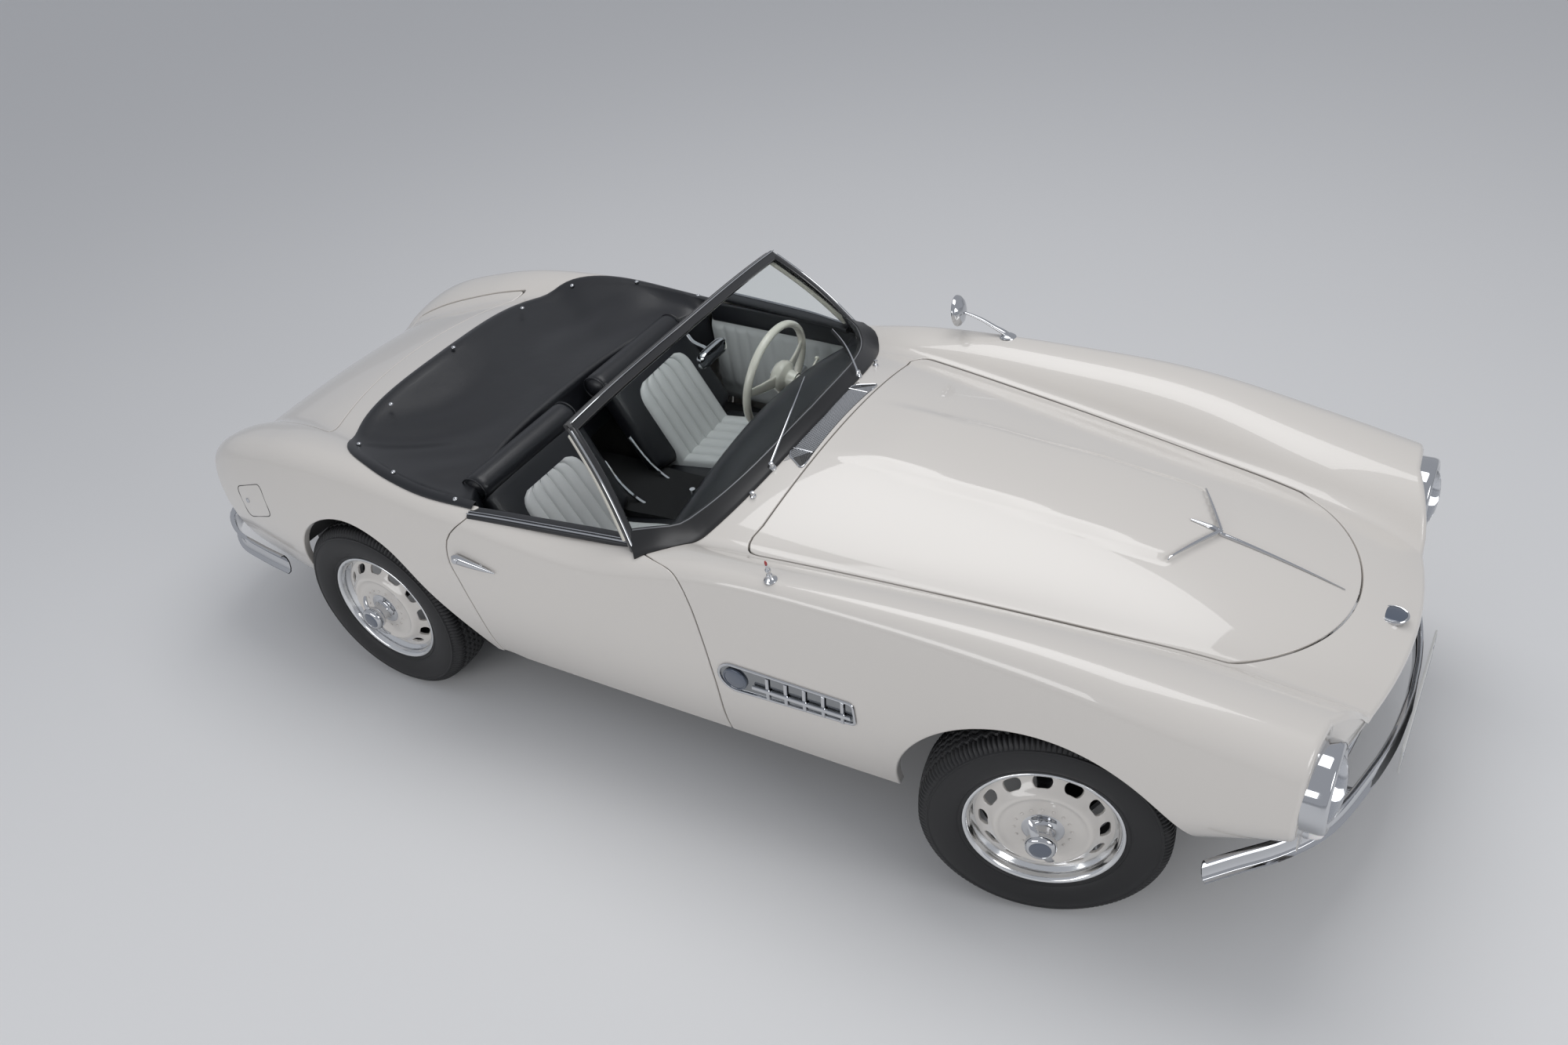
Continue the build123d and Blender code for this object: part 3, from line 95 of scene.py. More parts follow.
# Door shut lines as points on the skin of the near side, y positive.
DOOR_FRONT = [(-.120, .685, .887), (.027, .731, .898), (.134, .766, .888), (.185, .790, .819),
              (.217, .806, .722), (.235, .807, .566), (.211, .767, .300)]
DOOR_REAR = [(-.650, .700, .900), (-.680, .755, .882), (-.766, .798, .795), (-.771, .811, .722),
             (-.747, .817, .651), (-.723, .812, .536), (-.729, .770, .300)]
# Middle of the rail on top of each door.
RAIL = np.array([(-.062, .672, .889), (-.20, .684, .888), (-.40, .704, .887), (-.60, .725, .886),
                 (-.680, .7335, .884)])
ARCH_FRONT = (1.245, .270, .445)
ARCH_REAR = [(-.735, .200), (-.778, .330), (-.915, .530), (-1.066, .695), (-1.236, .747),
             (-1.390, .716), (-1.500, .640), (-1.566, .530), (-1.603, .400), (-1.610, .200)]

GAP = .0045                             # shut lines
PANEL_EDGE = .0035                      # rolled edge beside a shut line
PANEL_DEPTH = .014


# ---------------------------------------------------------------- skin of the body
def hermite(x, xs, ys):
    """Smooth curve through the table's points, with slopes from their neighbours."""
    slopes = np.gradient(ys, xs, axis=0)
    i = np.clip(np.searchsorted(xs, x) - 1, 0, len(xs) - 2)
    width = xs[i + 1] - xs[i]
    t = (x - xs[i]) / width
    return ((2 * t**3 - 3 * t**2 + 1) * ys[i] + (t**3 - 2 * t**2 + t) * width * slopes[i]
            + (3 * t**2 - 2 * t**3) * ys[i + 1] + (t**3 - t**2) * width * slopes[i + 1])


def arc(centre, start, end, count):
    """Points along the shorter arc from start to end, both included."""
    a = math.atan2(start[1] - centre[1], start[0] - centre[0])
    b = math.atan2(end[1] - centre[1], end[0] - centre[0])
    turn = (b - a + math.pi) % (2 * math.pi) - math.pi
    radius = math.hypot(start[0] - centre[0], start[1] - centre[1])
    angles = a + turn * np.linspace(0, 1, count)
    return np.stack([centre[0] + radius * np.cos(angles), centre[1] + radius * np.sin(angles)], 1)


def section(x):
    """Half section at a station, from the crown down to the sill, as points (y, z)."""
    zc, yv, zv, yf, zf, yw, zw, ys, zs = hermite(x, SECTIONS[:, 0], SECTIONS[:, 1:])
    drop = zc - zv
    crown = (yv**2 + drop**2) / (2 * drop)
    hollow = ((yf - yv)**2 + (zf - zv)**2) / (2 * max(zf - zv, 1e-4))
    rise, run = zf - zw, yw - yf
    turn_y, turn_z = math.sin(WING_TURN), 1 - math.cos(WING_TURN)
    rest_y, rest_z = 1 - turn_y, math.cos(WING_TURN)
    top = (run * rest_z - rise * rest_y) / (turn_y * rest_z - rest_y * turn_z)
    joint = (yf + top * turn_y, zf - top * turn_z)
    side = (rise - top * turn_z) / rest_z
    below = ((yw - ys)**2 + (zw - zs)**2) / (2 * (yw - ys))
    centre = arc((0, zc - crown), (0, zc), (yv, zv), 29)
    shoulder = arc((yf, zf - hollow), (yv, zv), (yf, zf), 17)
    # the valley is eased by a short curve between points on either side
    a, b, c = centre[-3], (yv, zv), shoulder[4]
    t = np.linspace(0, 1, 9)[:, None]
    ease = (1 - t)**2 * a + 2 * t * (1 - t) * np.array(b) + t**2 * c
    return np.concatenate([
        centre[:-3], ease, shoulder[5:],
        arc((yf, zf - top), (yf, zf), joint, 13)[1:],
        arc((yw - side, zw), joint, (yw, zw), 9)[1:],
        arc((yw - below, zw), (yw, zw), (ys, zs), 15)[1:],
    ])


def end_x(y, z, column):
    """Station of the nose (column 1) or tail (column 3) face at a lateral place and a height."""
    centre = np.interp(z, ENDS[:, 0], ENDS[:, column])
    corner = np.interp(z, ENDS[:, 0], ENDS[:, column + 1])
    forward = 1 if column == 1 else -1
    bow = np.abs(centre - corner)
    radius = (CORNER_Y**2 + bow**2) / (2 * bow)
    y = np.abs(y)
    inner = centre - forward * (radius - np.sqrt(np.maximum(radius**2 - np.minimum(y, CORNER_Y)**2, 0)))
    slant = (y - CORNER_Y) / (ENVELOPE_Y - CORNER_Y) * SIDE_SLANT * (1 if column == 1 else 2)
    return np.where(y > CORNER_Y, corner - forward * slant, inner)


PLATEAU = dict(rear=.300, tip=1.479, shoulder=1.383, half=(.155, .178), rise=.011, step=.016)


def plateau(x, y):
    """Height added by the bonnet's raised middle."""
    y = np.abs(y)
    half = np.interp(x, (PLATEAU["rear"], PLATEAU["shoulder"]), PLATEAU["half"])
    front = PLATEAU["tip"] - (PLATEAU["tip"] - PLATEAU["shoulder"]) * y / PLATEAU["half"][1]
    inside = np.minimum((half - y) / PLATEAU["step"], (front - x) / PLATEAU["step"])
    step = np.clip(inside + .5, 0, 1)
    fade = np.clip((x - PLATEAU["rear"]) / .25, 0, 1)
    return PLATEAU["rise"] * step * step * (3 - 2 * step) * fade * fade * (3 - 2 * fade)


class Skin:
    """Points, outward normals, faces, and for each point the set of cuts that it lies on."""

    def __init__(self, points, normals, faces, cuts=None):
        self.points = np.asarray(points, float)
        self.normals = np.asarray(normals, float)
        self.faces = faces
        self.cuts = np.zeros(len(self.points), int) if cuts is None else cuts

    def clip(self, values, label=0):
        """Keeps the side where values are negative; cut points carry the label."""
        points, normals, cuts = list(self.points), list(self.normals), list(self.cuts)
        made, faces = {}, []
        inside = values < 0
        for face in self.faces:
            flags = [inside[i] for i in face]
            if all(flags):
                faces.append(face)
                continue
            if not any(flags):
                continue
            kept = []
            for k, i in enumerate(face):
                j = face[(k + 1) % len(face)]
                if inside[i]:
                    kept.append(i)
                if inside[i] != inside[j]:
                    key = (min(i, j), max(i, j))
                    if key not in made:
                        t = values[i] / (values[i] - values[j])
                        made[key] = len(points)
                        points.append(points[i] + t * (points[j] - points[i]))
                        blend = normals[i] + t * (normals[j] - normals[i])
                        normals.append(blend / np.linalg.norm(blend))
                        cuts.append((cuts[i] & cuts[j]) | (1 << label))
                    kept.append(made[key])
            faces.append(kept)
        used = sorted({i for face in faces for i in face})
        place = {old: new for new, old in enumerate(used)}
        return Skin([points[i] for i in used], [normals[i] for i in used],
                    [[place[i] for i in face] for face in faces], np.array([cuts[i] for i in used], int))

    def rim(self):
        """Boundary edges in face order, and at each of their points the outward direction."""
        edges = {}
        for face in self.faces:
            for k, i in enumerate(face):
                edges[(i, face[(k + 1) % len(face)])] = True
        border = [e for e in edges if (e[1], e[0]) not in edges]
        outward = np.zeros_like(self.points)
        for i, j in border:
            along = self.points[j] - self.points[i]
            for k in (i, j):
                side = np.cross(along, self.normals[k])
                outward[k] += side
        size = np.linalg.norm(outward, axis=1)
        outward[size > 0] /= size[size > 0][:, None]
        return border, outward

    def rolled(self, edge, depth, radii=None, depths=None, steps=4):
        """Turns every free edge inwards: a quarter round of the edge radius, then a flange."""
        border, outward = self.rim()
        ring = sorted({i for e in border for i in e})
        place = {old: new for new, old in enumerate(ring)}
        radius = np.full(len(ring), float(edge))
        reach = np.full(len(ring), float(depth))
        for label, value in (radii or {}).items():
            hit = (self.cuts[ring] >> label) & 1 == 1
            radius[hit] = value
        for label, value in (depths or {}).items():
            hit = (self.cuts[ring] >> label) & 1 == 1
            reach[hit] = value
        base, normal, out = self.points[ring], self.normals[ring], outward[ring]
        points, normals, faces = [self.points], [self.normals], list(self.faces)
        previous = np.array(ring)
        count = len(self.points)
        turns = [math.pi / 2 * k / steps for k in range(1, steps + 1)] + [None]
        for turn in turns:
            if turn is None:
                place_now = base + radius[:, None] * out - (radius + reach)[:, None] * normal
                facing = out
            else:
                place_now = base + radius[:, None] * (math.sin(turn) * out - (1 - math.cos(turn)) * normal)
                facing = math.cos(turn) * normal + math.sin(turn) * out
            points.append(place_now)
            normals.append(facing)
            index = np.arange(len(ring)) + count
            for i, j in border:
                a, b = place[i], place[j]
                faces.append([previous[b], previous[a], index[a], index[b]])
            previous = index
            count += len(ring)
        rolled = Skin(np.concatenate(points), np.concatenate(normals), faces)
        rolled.last = dict(zip(ring, previous))
        return rolled

    def thick(self, edge, depth):
        """A closed panel: rolled edges, and a back that follows the skin."""
        front = self.rolled(edge, depth - edge)
        count = len(front.points)
        back = self.points - depth * self.normals
        points = np.concatenate([front.points, back])
        normals = np.concatenate([front.normals, -self.normals])
        faces = front.faces + [[count + i for i in reversed(face)] for face in self.faces]
        for i, j in self.rim()[0]:
            faces.append([front.last[j], front.last[i], count + i, count + j])
        return Skin(points, normals, faces)

    def turn_over(self):
        """Makes the other side the outward one."""
        self.normals *= -1
        self.faces = [face[::-1] for face in self.faces]


def joined(*skins):
    """Several skins as one."""
    points, normals, faces, count = [], [], [], 0
    for skin in skins:
        points.append(skin.points)
        normals.append(skin.normals)
        faces += [[i + count for i in face] for face in skin.faces]
        count += len(skin.points)
    return Skin(np.concatenate(points), np.concatenate(normals), faces)


def grid(points, closed_u=False, closed_v=False):
    """A skin over rows of points, with normals from their differences; u runs along rows."""
    rows, columns = points.shape[:2]

    def slope(axis, closed):
        if closed:
            return np.roll(points, -1, axis) - np.roll(points, 1, axis)
        return np.gradient(points, axis=axis)

    normals = np.cross(slope(0, closed_v), slope(1, closed_u))
    size = np.linalg.norm(normals, axis=2, keepdims=True)
    normals /= np.maximum(size, 1e-12)
    faces = []
    for i in range(rows - (not closed_v)):
        for j in range(columns - (not closed_u)):
            a, b = (i + 1) % rows, (j + 1) % columns
            faces.append([i * columns + j, a * columns + j, a * columns + b, i * columns + b])
    return Skin(points.reshape(-1, 3), normals.reshape(-1, 3), faces)


def outline_distance(points, outline):
    """Signed distance in the plane to a closed outline, negative inside."""
    outline = np.asarray(outline, float)
    best = np.full(len(points), 1e9)
    inside = np.zeros(len(points), bool)
    for a, b in zip(outline, np.roll(outline, -1, 0)):
        along = b - a
        t = np.clip(((points - a) @ along) / max(along @ along, 1e-12), 0, 1)
        best = np.minimum(best, np.linalg.norm(points - a - t[:, None] * along, axis=1))
        crosses = (a[1] > points[:, 1]) != (b[1] > points[:, 1])
        if a[1] != b[1]:
            cut = a[0] + (points[:, 1] - a[1]) * along[0] / along[1]
            inside ^= crosses & (points[:, 0] < cut)
    return np.where(inside, -best, best)


def rounded(corners, radius, steps=8):
    """A closed outline with its corners rounded."""
    made = []
    corners = [np.array(c, float) for c in corners]
    for before, corner, after in zip(corners[-1:] + corners[:-1], corners, corners[1:] + corners[:1]):
        a, b = before - corner, after - corner
        reach = min(radius, np.linalg.norm(a) * .49, np.linalg.norm(b) * .49)
        start = corner + a / np.linalg.norm(a) * reach
        end = corner + b / np.linalg.norm(b) * reach
        for t in np.linspace(0, 1, steps):
            made.append((1 - t)**2 * start + 2 * t * (1 - t) * corner + t**2 * end)
    return made


def three_point(a, b, c, count):
    """Points along the arc from a through b to c."""
    (ax, ay), (bx, by), (cx, cy) = a, b, c
    d = 2 * (ax * (by - cy) + bx * (cy - ay) + cx * (ay - by))
    ux = ((ax**2 + ay**2) * (by - cy) + (bx**2 + by**2) * (cy - ay) + (cx**2 + cy**2) * (ay - by)) / d
    uy = ((ax**2 + ay**2) * (cx - bx) + (bx**2 + by**2) * (ax - cx) + (cx**2 + cy**2) * (bx - ax)) / d
    half = count // 2
    return np.concatenate([arc((ux, uy), a, b, half), arc((ux, uy), b, c, half)[1:]])


def bonnet_outline():
    """The bonnet's outline in plan."""
    (rx, ry), (fx, fy) = BONNET["rear"], BONNET["front"]
    nose = three_point((fx, fy), (BONNET["nose"], 0), (fx, -fy), 40)
    corners = rounded([(fx, -fy), (rx, -ry), (rx, ry), (fx, fy)], BONNET["corner"])
    steps = len(corners) // 4
    rear = three_point((rx, -ry), (BONNET["back"], 0), (rx, ry), 24)
    rear = [p for p in rear if abs(p[1]) < ry - BONNET["corner"] - .01]
    sides = corners[steps:2 * steps] + rear + corners[2 * steps:3 * steps]
    return [np.array(p) for p in sides] + [np.array(p) for p in nose]


def boot_outline():
    """The boot lid's outline in plan."""
    (fx, fy), (rx, ry) = BOOT["front"], BOOT["rear"]
    front = three_point((fx, -fy), (BOOT["front_x"], 0), (fx, fy), 30)
    rear = three_point((rx, ry), (BOOT["nose"], 0), (rx, -ry), 30)
    return [tuple(p) for p in front] + [tuple(p) for p in rear]


def lengths(points):
    """Distance along a line of points, from the first, at each of them."""
    return np.concatenate([[0], np.cumsum(np.linalg.norm(np.diff(points, axis=0), axis=1))])


def smooth_line(line, count=60):
    """Points on a smooth curve through the given ones, evenly spaced along their chords."""
    points = np.array(line, float)
    s = lengths(points)
    return np.array([hermite(v, s, points) for v in np.linspace(0, s[-1], count)])


def smooth_outline(points):
    """A closed plan outline from half its points, smoothed through them."""
    half = smooth_line(points)
    mirror = half[::-1] * np.array((1, -1))
    return np.concatenate([half, mirror[1:-1]])


def shut_distance(points, line):
    """Distance along the skin ahead of a shut line, whose points run down round the section."""
    line_place = line[:, 1] - line[:, 2]
    place = points[:, 1] - points[:, 2]
    slant = np.interp(place, line_place, np.gradient(line[:, 0], line_place))
    return (points[:, 0] - np.interp(place, line_place, line[:, 0])) / np.sqrt(1 + slant**2)


def door_field(points):
    """Negative inside the door's outline on the skin, for either side."""
    there = np.abs(points) * (0, 1, 0) + points * (1, 0, 1)
    front, rear = smooth_line(DOOR_FRONT), smooth_line(DOOR_REAR)
    field = np.maximum(shut_distance(there, front), -shut_distance(there, rear))
    return np.where(there[:, 1] < .60, 1.0, field)


def body_grid():
    """The whole outer skin as one grid from left sill over the crown to right sill."""
    stations = np.concatenate([np.linspace(-2.22, -.9, 84), np.linspace(-.885, 1.5, 150),
                               np.linspace(1.512, 2.06, 46)])
    rows = []
    for x in stations:
        half = section(x)
        y = np.concatenate([half[::-1, 0], -half[1:, 0]])
        z = np.concatenate([half[::-1, 1], half[1:, 1]])
        z = z + plateau(np.full_like(y, x), y)
        rows.append(np.stack([np.full_like(y, x), y, z], 1))
    points = np.array(rows)
    skin = grid(points)
    # normals face outwards, upwards at the crown
    crown = len(rows) // 2 * len(rows[0]) + len(rows[0]) // 2
    if skin.normals[crown][2] < 0:
        skin.turn_over()
    return skin


NOSE_ROLL, TAIL_ROLL = .018, .045
CUT_NOSE, CUT_TAIL, CUT_BONNET, CUT_BOOT, CUT_COCKPIT, CUT_DOOR, CUT_ARCH, CUT_MISC = range(8)


def ends_clipped(skin, nose=NOSE_ROLL, tail=TAIL_ROLL):
    p, slope = skin.points, np.clip(skin.normals[:, 0], 0, .95)
    skin = skin.clip(p[:, 0] - end_x(p[:, 1], p[:, 2], 1) + nose * (1 - slope), CUT_NOSE)
    p, slope = skin.points, np.clip(-skin.normals[:, 0], 0, .95)
    return skin.clip(end_x(p[:, 1], p[:, 2], 3) - p[:, 0] + tail * (1 - slope), CUT_TAIL)


# ---------------------------------------------------------------- making pieces
def shifted(skin, by):
    return Skin(skin.points + np.array(by), skin.normals, skin.faces, skin.cuts)


def moved(skin):
    """A skin taken from its stations to the frame's own x."""
    return shifted(skin, (MID, 0, 0))


def piece(name, skin, finish, body, replaced=(), exact=True):
    """One object from a skin, riding on a body."""
    mesh = bpy.data.meshes.new(name)
    mesh.from_pydata([tuple(p) for p in skin.points], [], [[int(i) for i in f] for f in skin.faces])
    mesh.polygons.foreach_set("use_smooth", [True] * len(mesh.polygons))
    if exact:
        mesh.normals_split_custom_set_from_vertices([tuple(n) for n in skin.normals])
    mesh.update()
    item = bpy.data.objects.new(name, mesh)
    bpy.context.scene.collection.objects.link(item)
    mesh.materials.append(Stock.get(finish))
    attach(item, body)
    if replaced:
        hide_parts(*replaced)
    return item


# ---------------------------------------------------------------- materials
def shader(name, color, roughness=.5, metallic=0.0, **sockets):
    """A principled material with plain values on its own sockets."""
    material = bpy.data.materials.new(name)
    material.use_nodes = True
    principled = material.node_tree.nodes["Principled BSDF"]
    principled.inputs["Base Color"].default_value = (*color, 1)
    principled.inputs["Roughness"].default_value = roughness
    principled.inputs["Metallic"].default_value = metallic
    for key, value in sockets.items():
        principled.inputs[key.replace("_", " ")].default_value = value
    return material


def noise_bump(material, scale, strength, distance=.001, detail=4):
    """Fine relief from a noise texture in the piece's own coordinates."""
    tree = material.node_tree
    where = tree.nodes.new("ShaderNodeTexCoord")
    noise = tree.nodes.new("ShaderNodeTexNoise")
    bump = tree.nodes.new("ShaderNodeBump")
    noise.inputs["Scale"].default_value = scale
    noise.inputs["Detail"].default_value = detail
    bump.inputs["Strength"].default_value = strength
    bump.inputs["Distance"].default_value = distance
    tree.links.new(where.outputs["Object"], noise.inputs["Vector"])
    tree.links.new(noise.outputs["Fac"], bump.inputs["Height"])
    tree.links.new(bump.outputs["Normal"], tree.nodes["Principled BSDF"].inputs["Normal"])
    return material


PAINT = (.70, .665, .62)


# key: name, colour, roughness, metallic, further sockets, relief (scale, strength, distance, detail)
FINISHES = {
    "chrome": ("polished_chrome", (.62, .63, .65), .06, 1.0, {}, (60, .02, .0003, 2)),
    # chrome darkened to paint in a dark reflection; on the vent floors it also paints the shade of a recess
    "dark_chrome": ("shaded_chrome", (.30, .31, .32), .12, 1.0, {}, (60, .02, .0003, 2)),
    "alloy": ("polished_rim_metal", (.80, .81, .82), .14, 1.0, {}, (200, .03, .0003)),
    "tyre": ("tyre_rubber", (.011, .011, .012), .5, 0, {}, (700, .35, .0006)),
    "dark_metal": ("underbody_steel", (.045, .045, .048), .5, .3, {}, (90, .3, .001)),
    "cast": ("cast_engine_iron", (.10, .10, .10), .6, .6, {}, (220, .5, .001)),
    "pipe_steel": ("exhaust_pipe_steel", (.22, .21, .20), .42, .9, {}, (140, .3, .0008)),
    "black_paint": ("black_inner_paint", (.015, .015, .016), .45, 0, {}, (300, .1, .0005)),
    "rubber": ("black_seal_rubber", (.012, .012, .013), .38, 0, {}, (500, .1, .0004)),
    # grey strip along the foot of the glass: painted reflection of light in the glass
    "grey_rubber": ("grey_glazing_rubber", (.20, .205, .215), .3, 0, {}, (400, .1, .0004)),
    "carpet": ("black_carpet", (.012, .012, .013), .95, 0, {}, (1200, .8, .002)),
    "tray": ("intake_tray_paint", (.035, .035, .035), .4, 0, {}, (300, .1, .0004)),
    "plate": ("blank_plate_enamel", (.02, .02, .022), .3, 0, {}, (200, .1, .0003)),
    "pale_plate": ("pale_plate_enamel", (.66, .66, .64), .35, 0, {}, (200, .05, .0003)),
    "ivory": ("ivory_steering_plastic", (.78, .75, .66), .22, 0, dict(Coat_Weight=.6), (300, .03, .0003)),
    # the screen frame is chrome; this black gloss is its dark reflection painted into the colour
    "frame_enamel": ("black_frame_enamel", (.010, .010, .011), .16, 0, dict(Coat_Weight=1),
                     (300, .03, .0002)),
    "enamel": ("blank_cap_enamel", (.10, .12, .16), .15, .2, dict(Coat_Weight=1), None),
    "glass": ("clear_screen_glass", (.95, .98, .97), .0, 0, dict(Transmission_Weight=1, IOR=1.02), None),
    "lens": ("headlamp_glass", (.97, .98, 1), .02, 0, dict(Transmission_Weight=1, IOR=1.25), None),
    "red_lens": ("red_lens", (.45, .01, .01), .12, 0, dict(Transmission_Weight=.3, Coat_Weight=1), None),
    "white_lens": ("white_lamp_plastic", (.85, .84, .82), .18, 0,
                   dict(Subsurface_Weight=.2, Coat_Weight=.6), None),
}
LEATHERS = {
    "leather": ("black_leather", (.011, .012, .015), .36),
    "pale_leather": ("pale_grey_leather", (.56, .575, .57), .42),
}


class Stock:
    """The finishes, made once when they are first asked for."""

    made = {}

    @classmethod
    def get(cls, key):
        if key not in cls.made:
            cls.made[key] = cls.make(key)
        return cls.made[key]

    @staticmethod
    def make(key):
        if key == "paint":
            look = bpy.context.scene.roadster_paint
            material = shader("ivory_gloss_paint", look.paint_color, look.paint_roughness,
                              Coat_Weight=1.0, Coat_Roughness=.03, Coat_IOR=1.5)
            return noise_bump(material, 900, .015, .0002, 2)
        if key in LEATHERS:
            return grain(*LEATHERS[key])
        name, color, roughness, metallic, sockets, relief = FINISHES[key]
        material = shader(name, color, roughness, metallic, **sockets)
        return noise_bump(material, *relief) if relief else material


def grain(name, color, roughness):
    """Leather: voronoi pores and a slow wrinkle."""
    material = shader(name, color, roughness, Coat_Weight=.08)
    tree = material.node_tree
    where = tree.nodes.new("ShaderNodeTexCoord")
    pores = tree.nodes.new("ShaderNodeTexVoronoi")
    pores.inputs["Scale"].default_value = 420
    wrinkle = tree.nodes.new("ShaderNodeTexNoise")
    wrinkle.inputs["Scale"].default_value = 14
    wrinkle.inputs["Detail"].default_value = 6
    fine, broad = tree.nodes.new("ShaderNodeBump"), tree.nodes.new("ShaderNodeBump")
    fine.inputs["Strength"].default_value, fine.inputs["Distance"].default_value = .35, .0008
    broad.inputs["Strength"].default_value, broad.inputs["Distance"].default_value = .25, .004
    for node in (pores, wrinkle):
        tree.links.new(where.outputs["Object"], node.inputs["Vector"])
    tree.links.new(wrinkle.outputs["Fac"], broad.inputs["Height"])
    tree.links.new(pores.outputs["Distance"], fine.inputs["Height"])
    tree.links.new(broad.outputs["Normal"], fine.inputs["Normal"])
    tree.links.new(fine.outputs["Normal"], tree.nodes["Principled BSDF"].inputs["Normal"])
    return material


# ---------------------------------------------------------------- settings
class RoadsterPaint(bpy.types.PropertyGroup):
    """Colours and finish of the bodywork."""

    paint_color: FloatVectorProperty(
        name="Paint", description="Colour of the body panels and wheels",
        subtype="COLOR", size=3, default=PAINT, min=0, max=1)
    paint_roughness: FloatProperty(
        name="Paint roughness", description="Roughness under the clear coat", default=.32, min=0, max=1)
    gap: FloatProperty(
        name="Shut line", description="Width of the gaps round doors and lids",
        default=GAP, min=.001, max=.02, subtype="DISTANCE", unit="LENGTH")


class RoadsterStage(bpy.types.PropertyGroup):
    """Floor colour and lens."""

    floor_color: FloatVectorProperty(
        name="Floor", description="Colour of the studio floor", subtype="COLOR", size=3,
        default=(.78, .78, .78), min=0, max=1)
    focal: FloatProperty(name="Lens", description="Focal length of the camera", default=30.69, min=10,
                         max=200)


# ---------------------------------------------------------------- panels
def plan(skin):
    """The skin's points seen from above."""
    return np.stack([skin.points[:, 0], skin.points[:, 1]], 1)


def arch_distance(across, arch):
    """Distance outside a wheel arch, seen from the side."""
    if len(arch) == 3:
        return np.hypot(across[:, 0] - arch[0], across[:, 1] - arch[1]) - arch[2]
    return outline_distance(across, along(arch, 60))


def panel_inside(skin, distance, label):
    """The skin inside an outline, short of it by half a gap and the rolled edge."""
    look = bpy.context.scene.roadster_paint
    return skin.clip(distance + look.gap / 2 + PANEL_EDGE, label)


def panel_outside(skin, distance, label):
    """The skin outside an outline, short of it by half a gap and the rolled edge."""
    look = bpy.context.scene.roadster_paint
    return skin.clip(-distance + look.gap / 2 + PANEL_EDGE, label)


class Body:
    """The trimmed outer skin, made once."""

    whole = raw = None
    columns = 0

    @classmethod
    def skin(cls):
        if cls.whole is None:
            cls.raw = body_grid()
            cls.columns = 2 * len(section(0)) - 1
            cls.whole = ends_clipped(cls.raw)
        return cls.whole


class RoadsterPanels(bpy.types.Operator):
    """Build the painted shell, the two lids and the doors"""

    bl_idname = "roadster.panels"
    bl_label = "Painted panels"

    def execute(self, context):
        whole = Body.skin()
        bonnet = panel_inside(whole, outline_distance(plan(whole), bonnet_outline()), CUT_BONNET)
        piece("bonnet_panel", moved(bonnet.thick(PANEL_EDGE, PANEL_DEPTH)), "paint",
              "bonnet", ["bonnet"])
        boot = panel_inside(whole, outline_distance(plan(whole), boot_outline()), CUT_BOOT)
        piece("boot_panel", moved(boot.thick(PANEL_EDGE, PANEL_DEPTH)), "paint",
              "boot_lid", ["boot_lid"])
        shell = panel_outside(whole, outline_distance(plan(whole), bonnet_outline()), CUT_BONNET)
        shell = panel_outside(shell, outline_distance(plan(shell), boot_outline()), CUT_BOOT)
        cockpit = smooth_outline(COCKPIT)
        above = np.where(shell.points[:, 2] > .8, outline_distance(plan(shell), cockpit), 1.0)
        shell = shell.clip(-above + .004, CUT_COCKPIT)
        shell = panel_outside(shell, door_field(shell.points), CUT_DOOR)
        for arch in (ARCH_FRONT, ARCH_REAR):
            side = arch_distance(shell.points[:, [0, 2]], arch)
            side = np.where(np.abs(shell.points[:, 1]) > .5, side, 1.0)
            shell = shell.clip(-side + .006, CUT_ARCH)
        radii = {CUT_NOSE: NOSE_ROLL, CUT_TAIL: TAIL_ROLL, CUT_ARCH: .006, CUT_COCKPIT: .004}
        depths = {CUT_NOSE: .001, CUT_TAIL: .001, CUT_ARCH: .02, CUT_COCKPIT: .012}
        shell = shell.rolled(PANEL_EDGE, PANEL_DEPTH, radii, depths)
        piece("shell_panel", moved(shell), "paint", "body", ["body_shell"])
        for side, name in ((1, "left"), (-1, "right")):
            door = panel_inside(whole, door_field(whole.points), CUT_DOOR)
            door = door.clip(-side * door.points[:, 1], CUT_MISC)
            top = np.interp(door.points[:, 0], RAIL[::-1, 0], RAIL[::-1, 1]) + .018
            door = door.clip(top - side * door.points[:, 1], CUT_COCKPIT)
            piece(f"door_panel_{name}", moved(door.thick(PANEL_EDGE, PANEL_DEPTH)), "paint",
                  f"door_{name}", [f"door_{name}"])
        return {"FINISHED"}


# ---------------------------------------------------------------- shared shapes
def across_and_up(axis):
    """Two directions across an axis, the first of them level."""
    across = np.cross(axis, (0, 0, 1.0)) if abs(axis[2]) < .9 else np.array((1.0, 0, 0))
    across /= np.linalg.norm(across)
    return across, np.cross(across, axis)


def lathe(profile, centre, axis, count=64):
    """A skin turned about an axis; profile points are (radius, place along the axis)."""
    axis = np.array(axis, float) / np.linalg.norm(axis)
    across, up = across_and_up(axis)
    profile = np.array(profile, float)
    turns = np.arange(count) * 2 * math.pi / count
    ray = np.cos(turns)[:, None] * across + np.sin(turns)[:, None] * up
    rows = (np.array(centre) + profile[None, :, 1, None] * axis
            + profile[None, :, 0, None] * ray[:, None, :])
    return grid(rows, closed_v=True)


def soft(points, radius=.002, steps=4):
    """An open profile with its inner corners rounded."""
    points = [np.array(p, float) for p in points]
    made = [points[0]]
    for before, corner, after in zip(points[:-2], points[1:-1], points[2:]):
        a, b = before - corner, after - corner
        reach = min(radius, np.linalg.norm(a) * .45, np.linalg.norm(b) * .45)
        start, end = corner + a / np.linalg.norm(a) * reach, corner + b / np.linalg.norm(b) * reach
        for t in np.linspace(0, 1, steps):
            made.append((1 - t)**2 * start + 2 * t * (1 - t) * corner + t**2 * end)
    return np.array(made + [points[-1]])


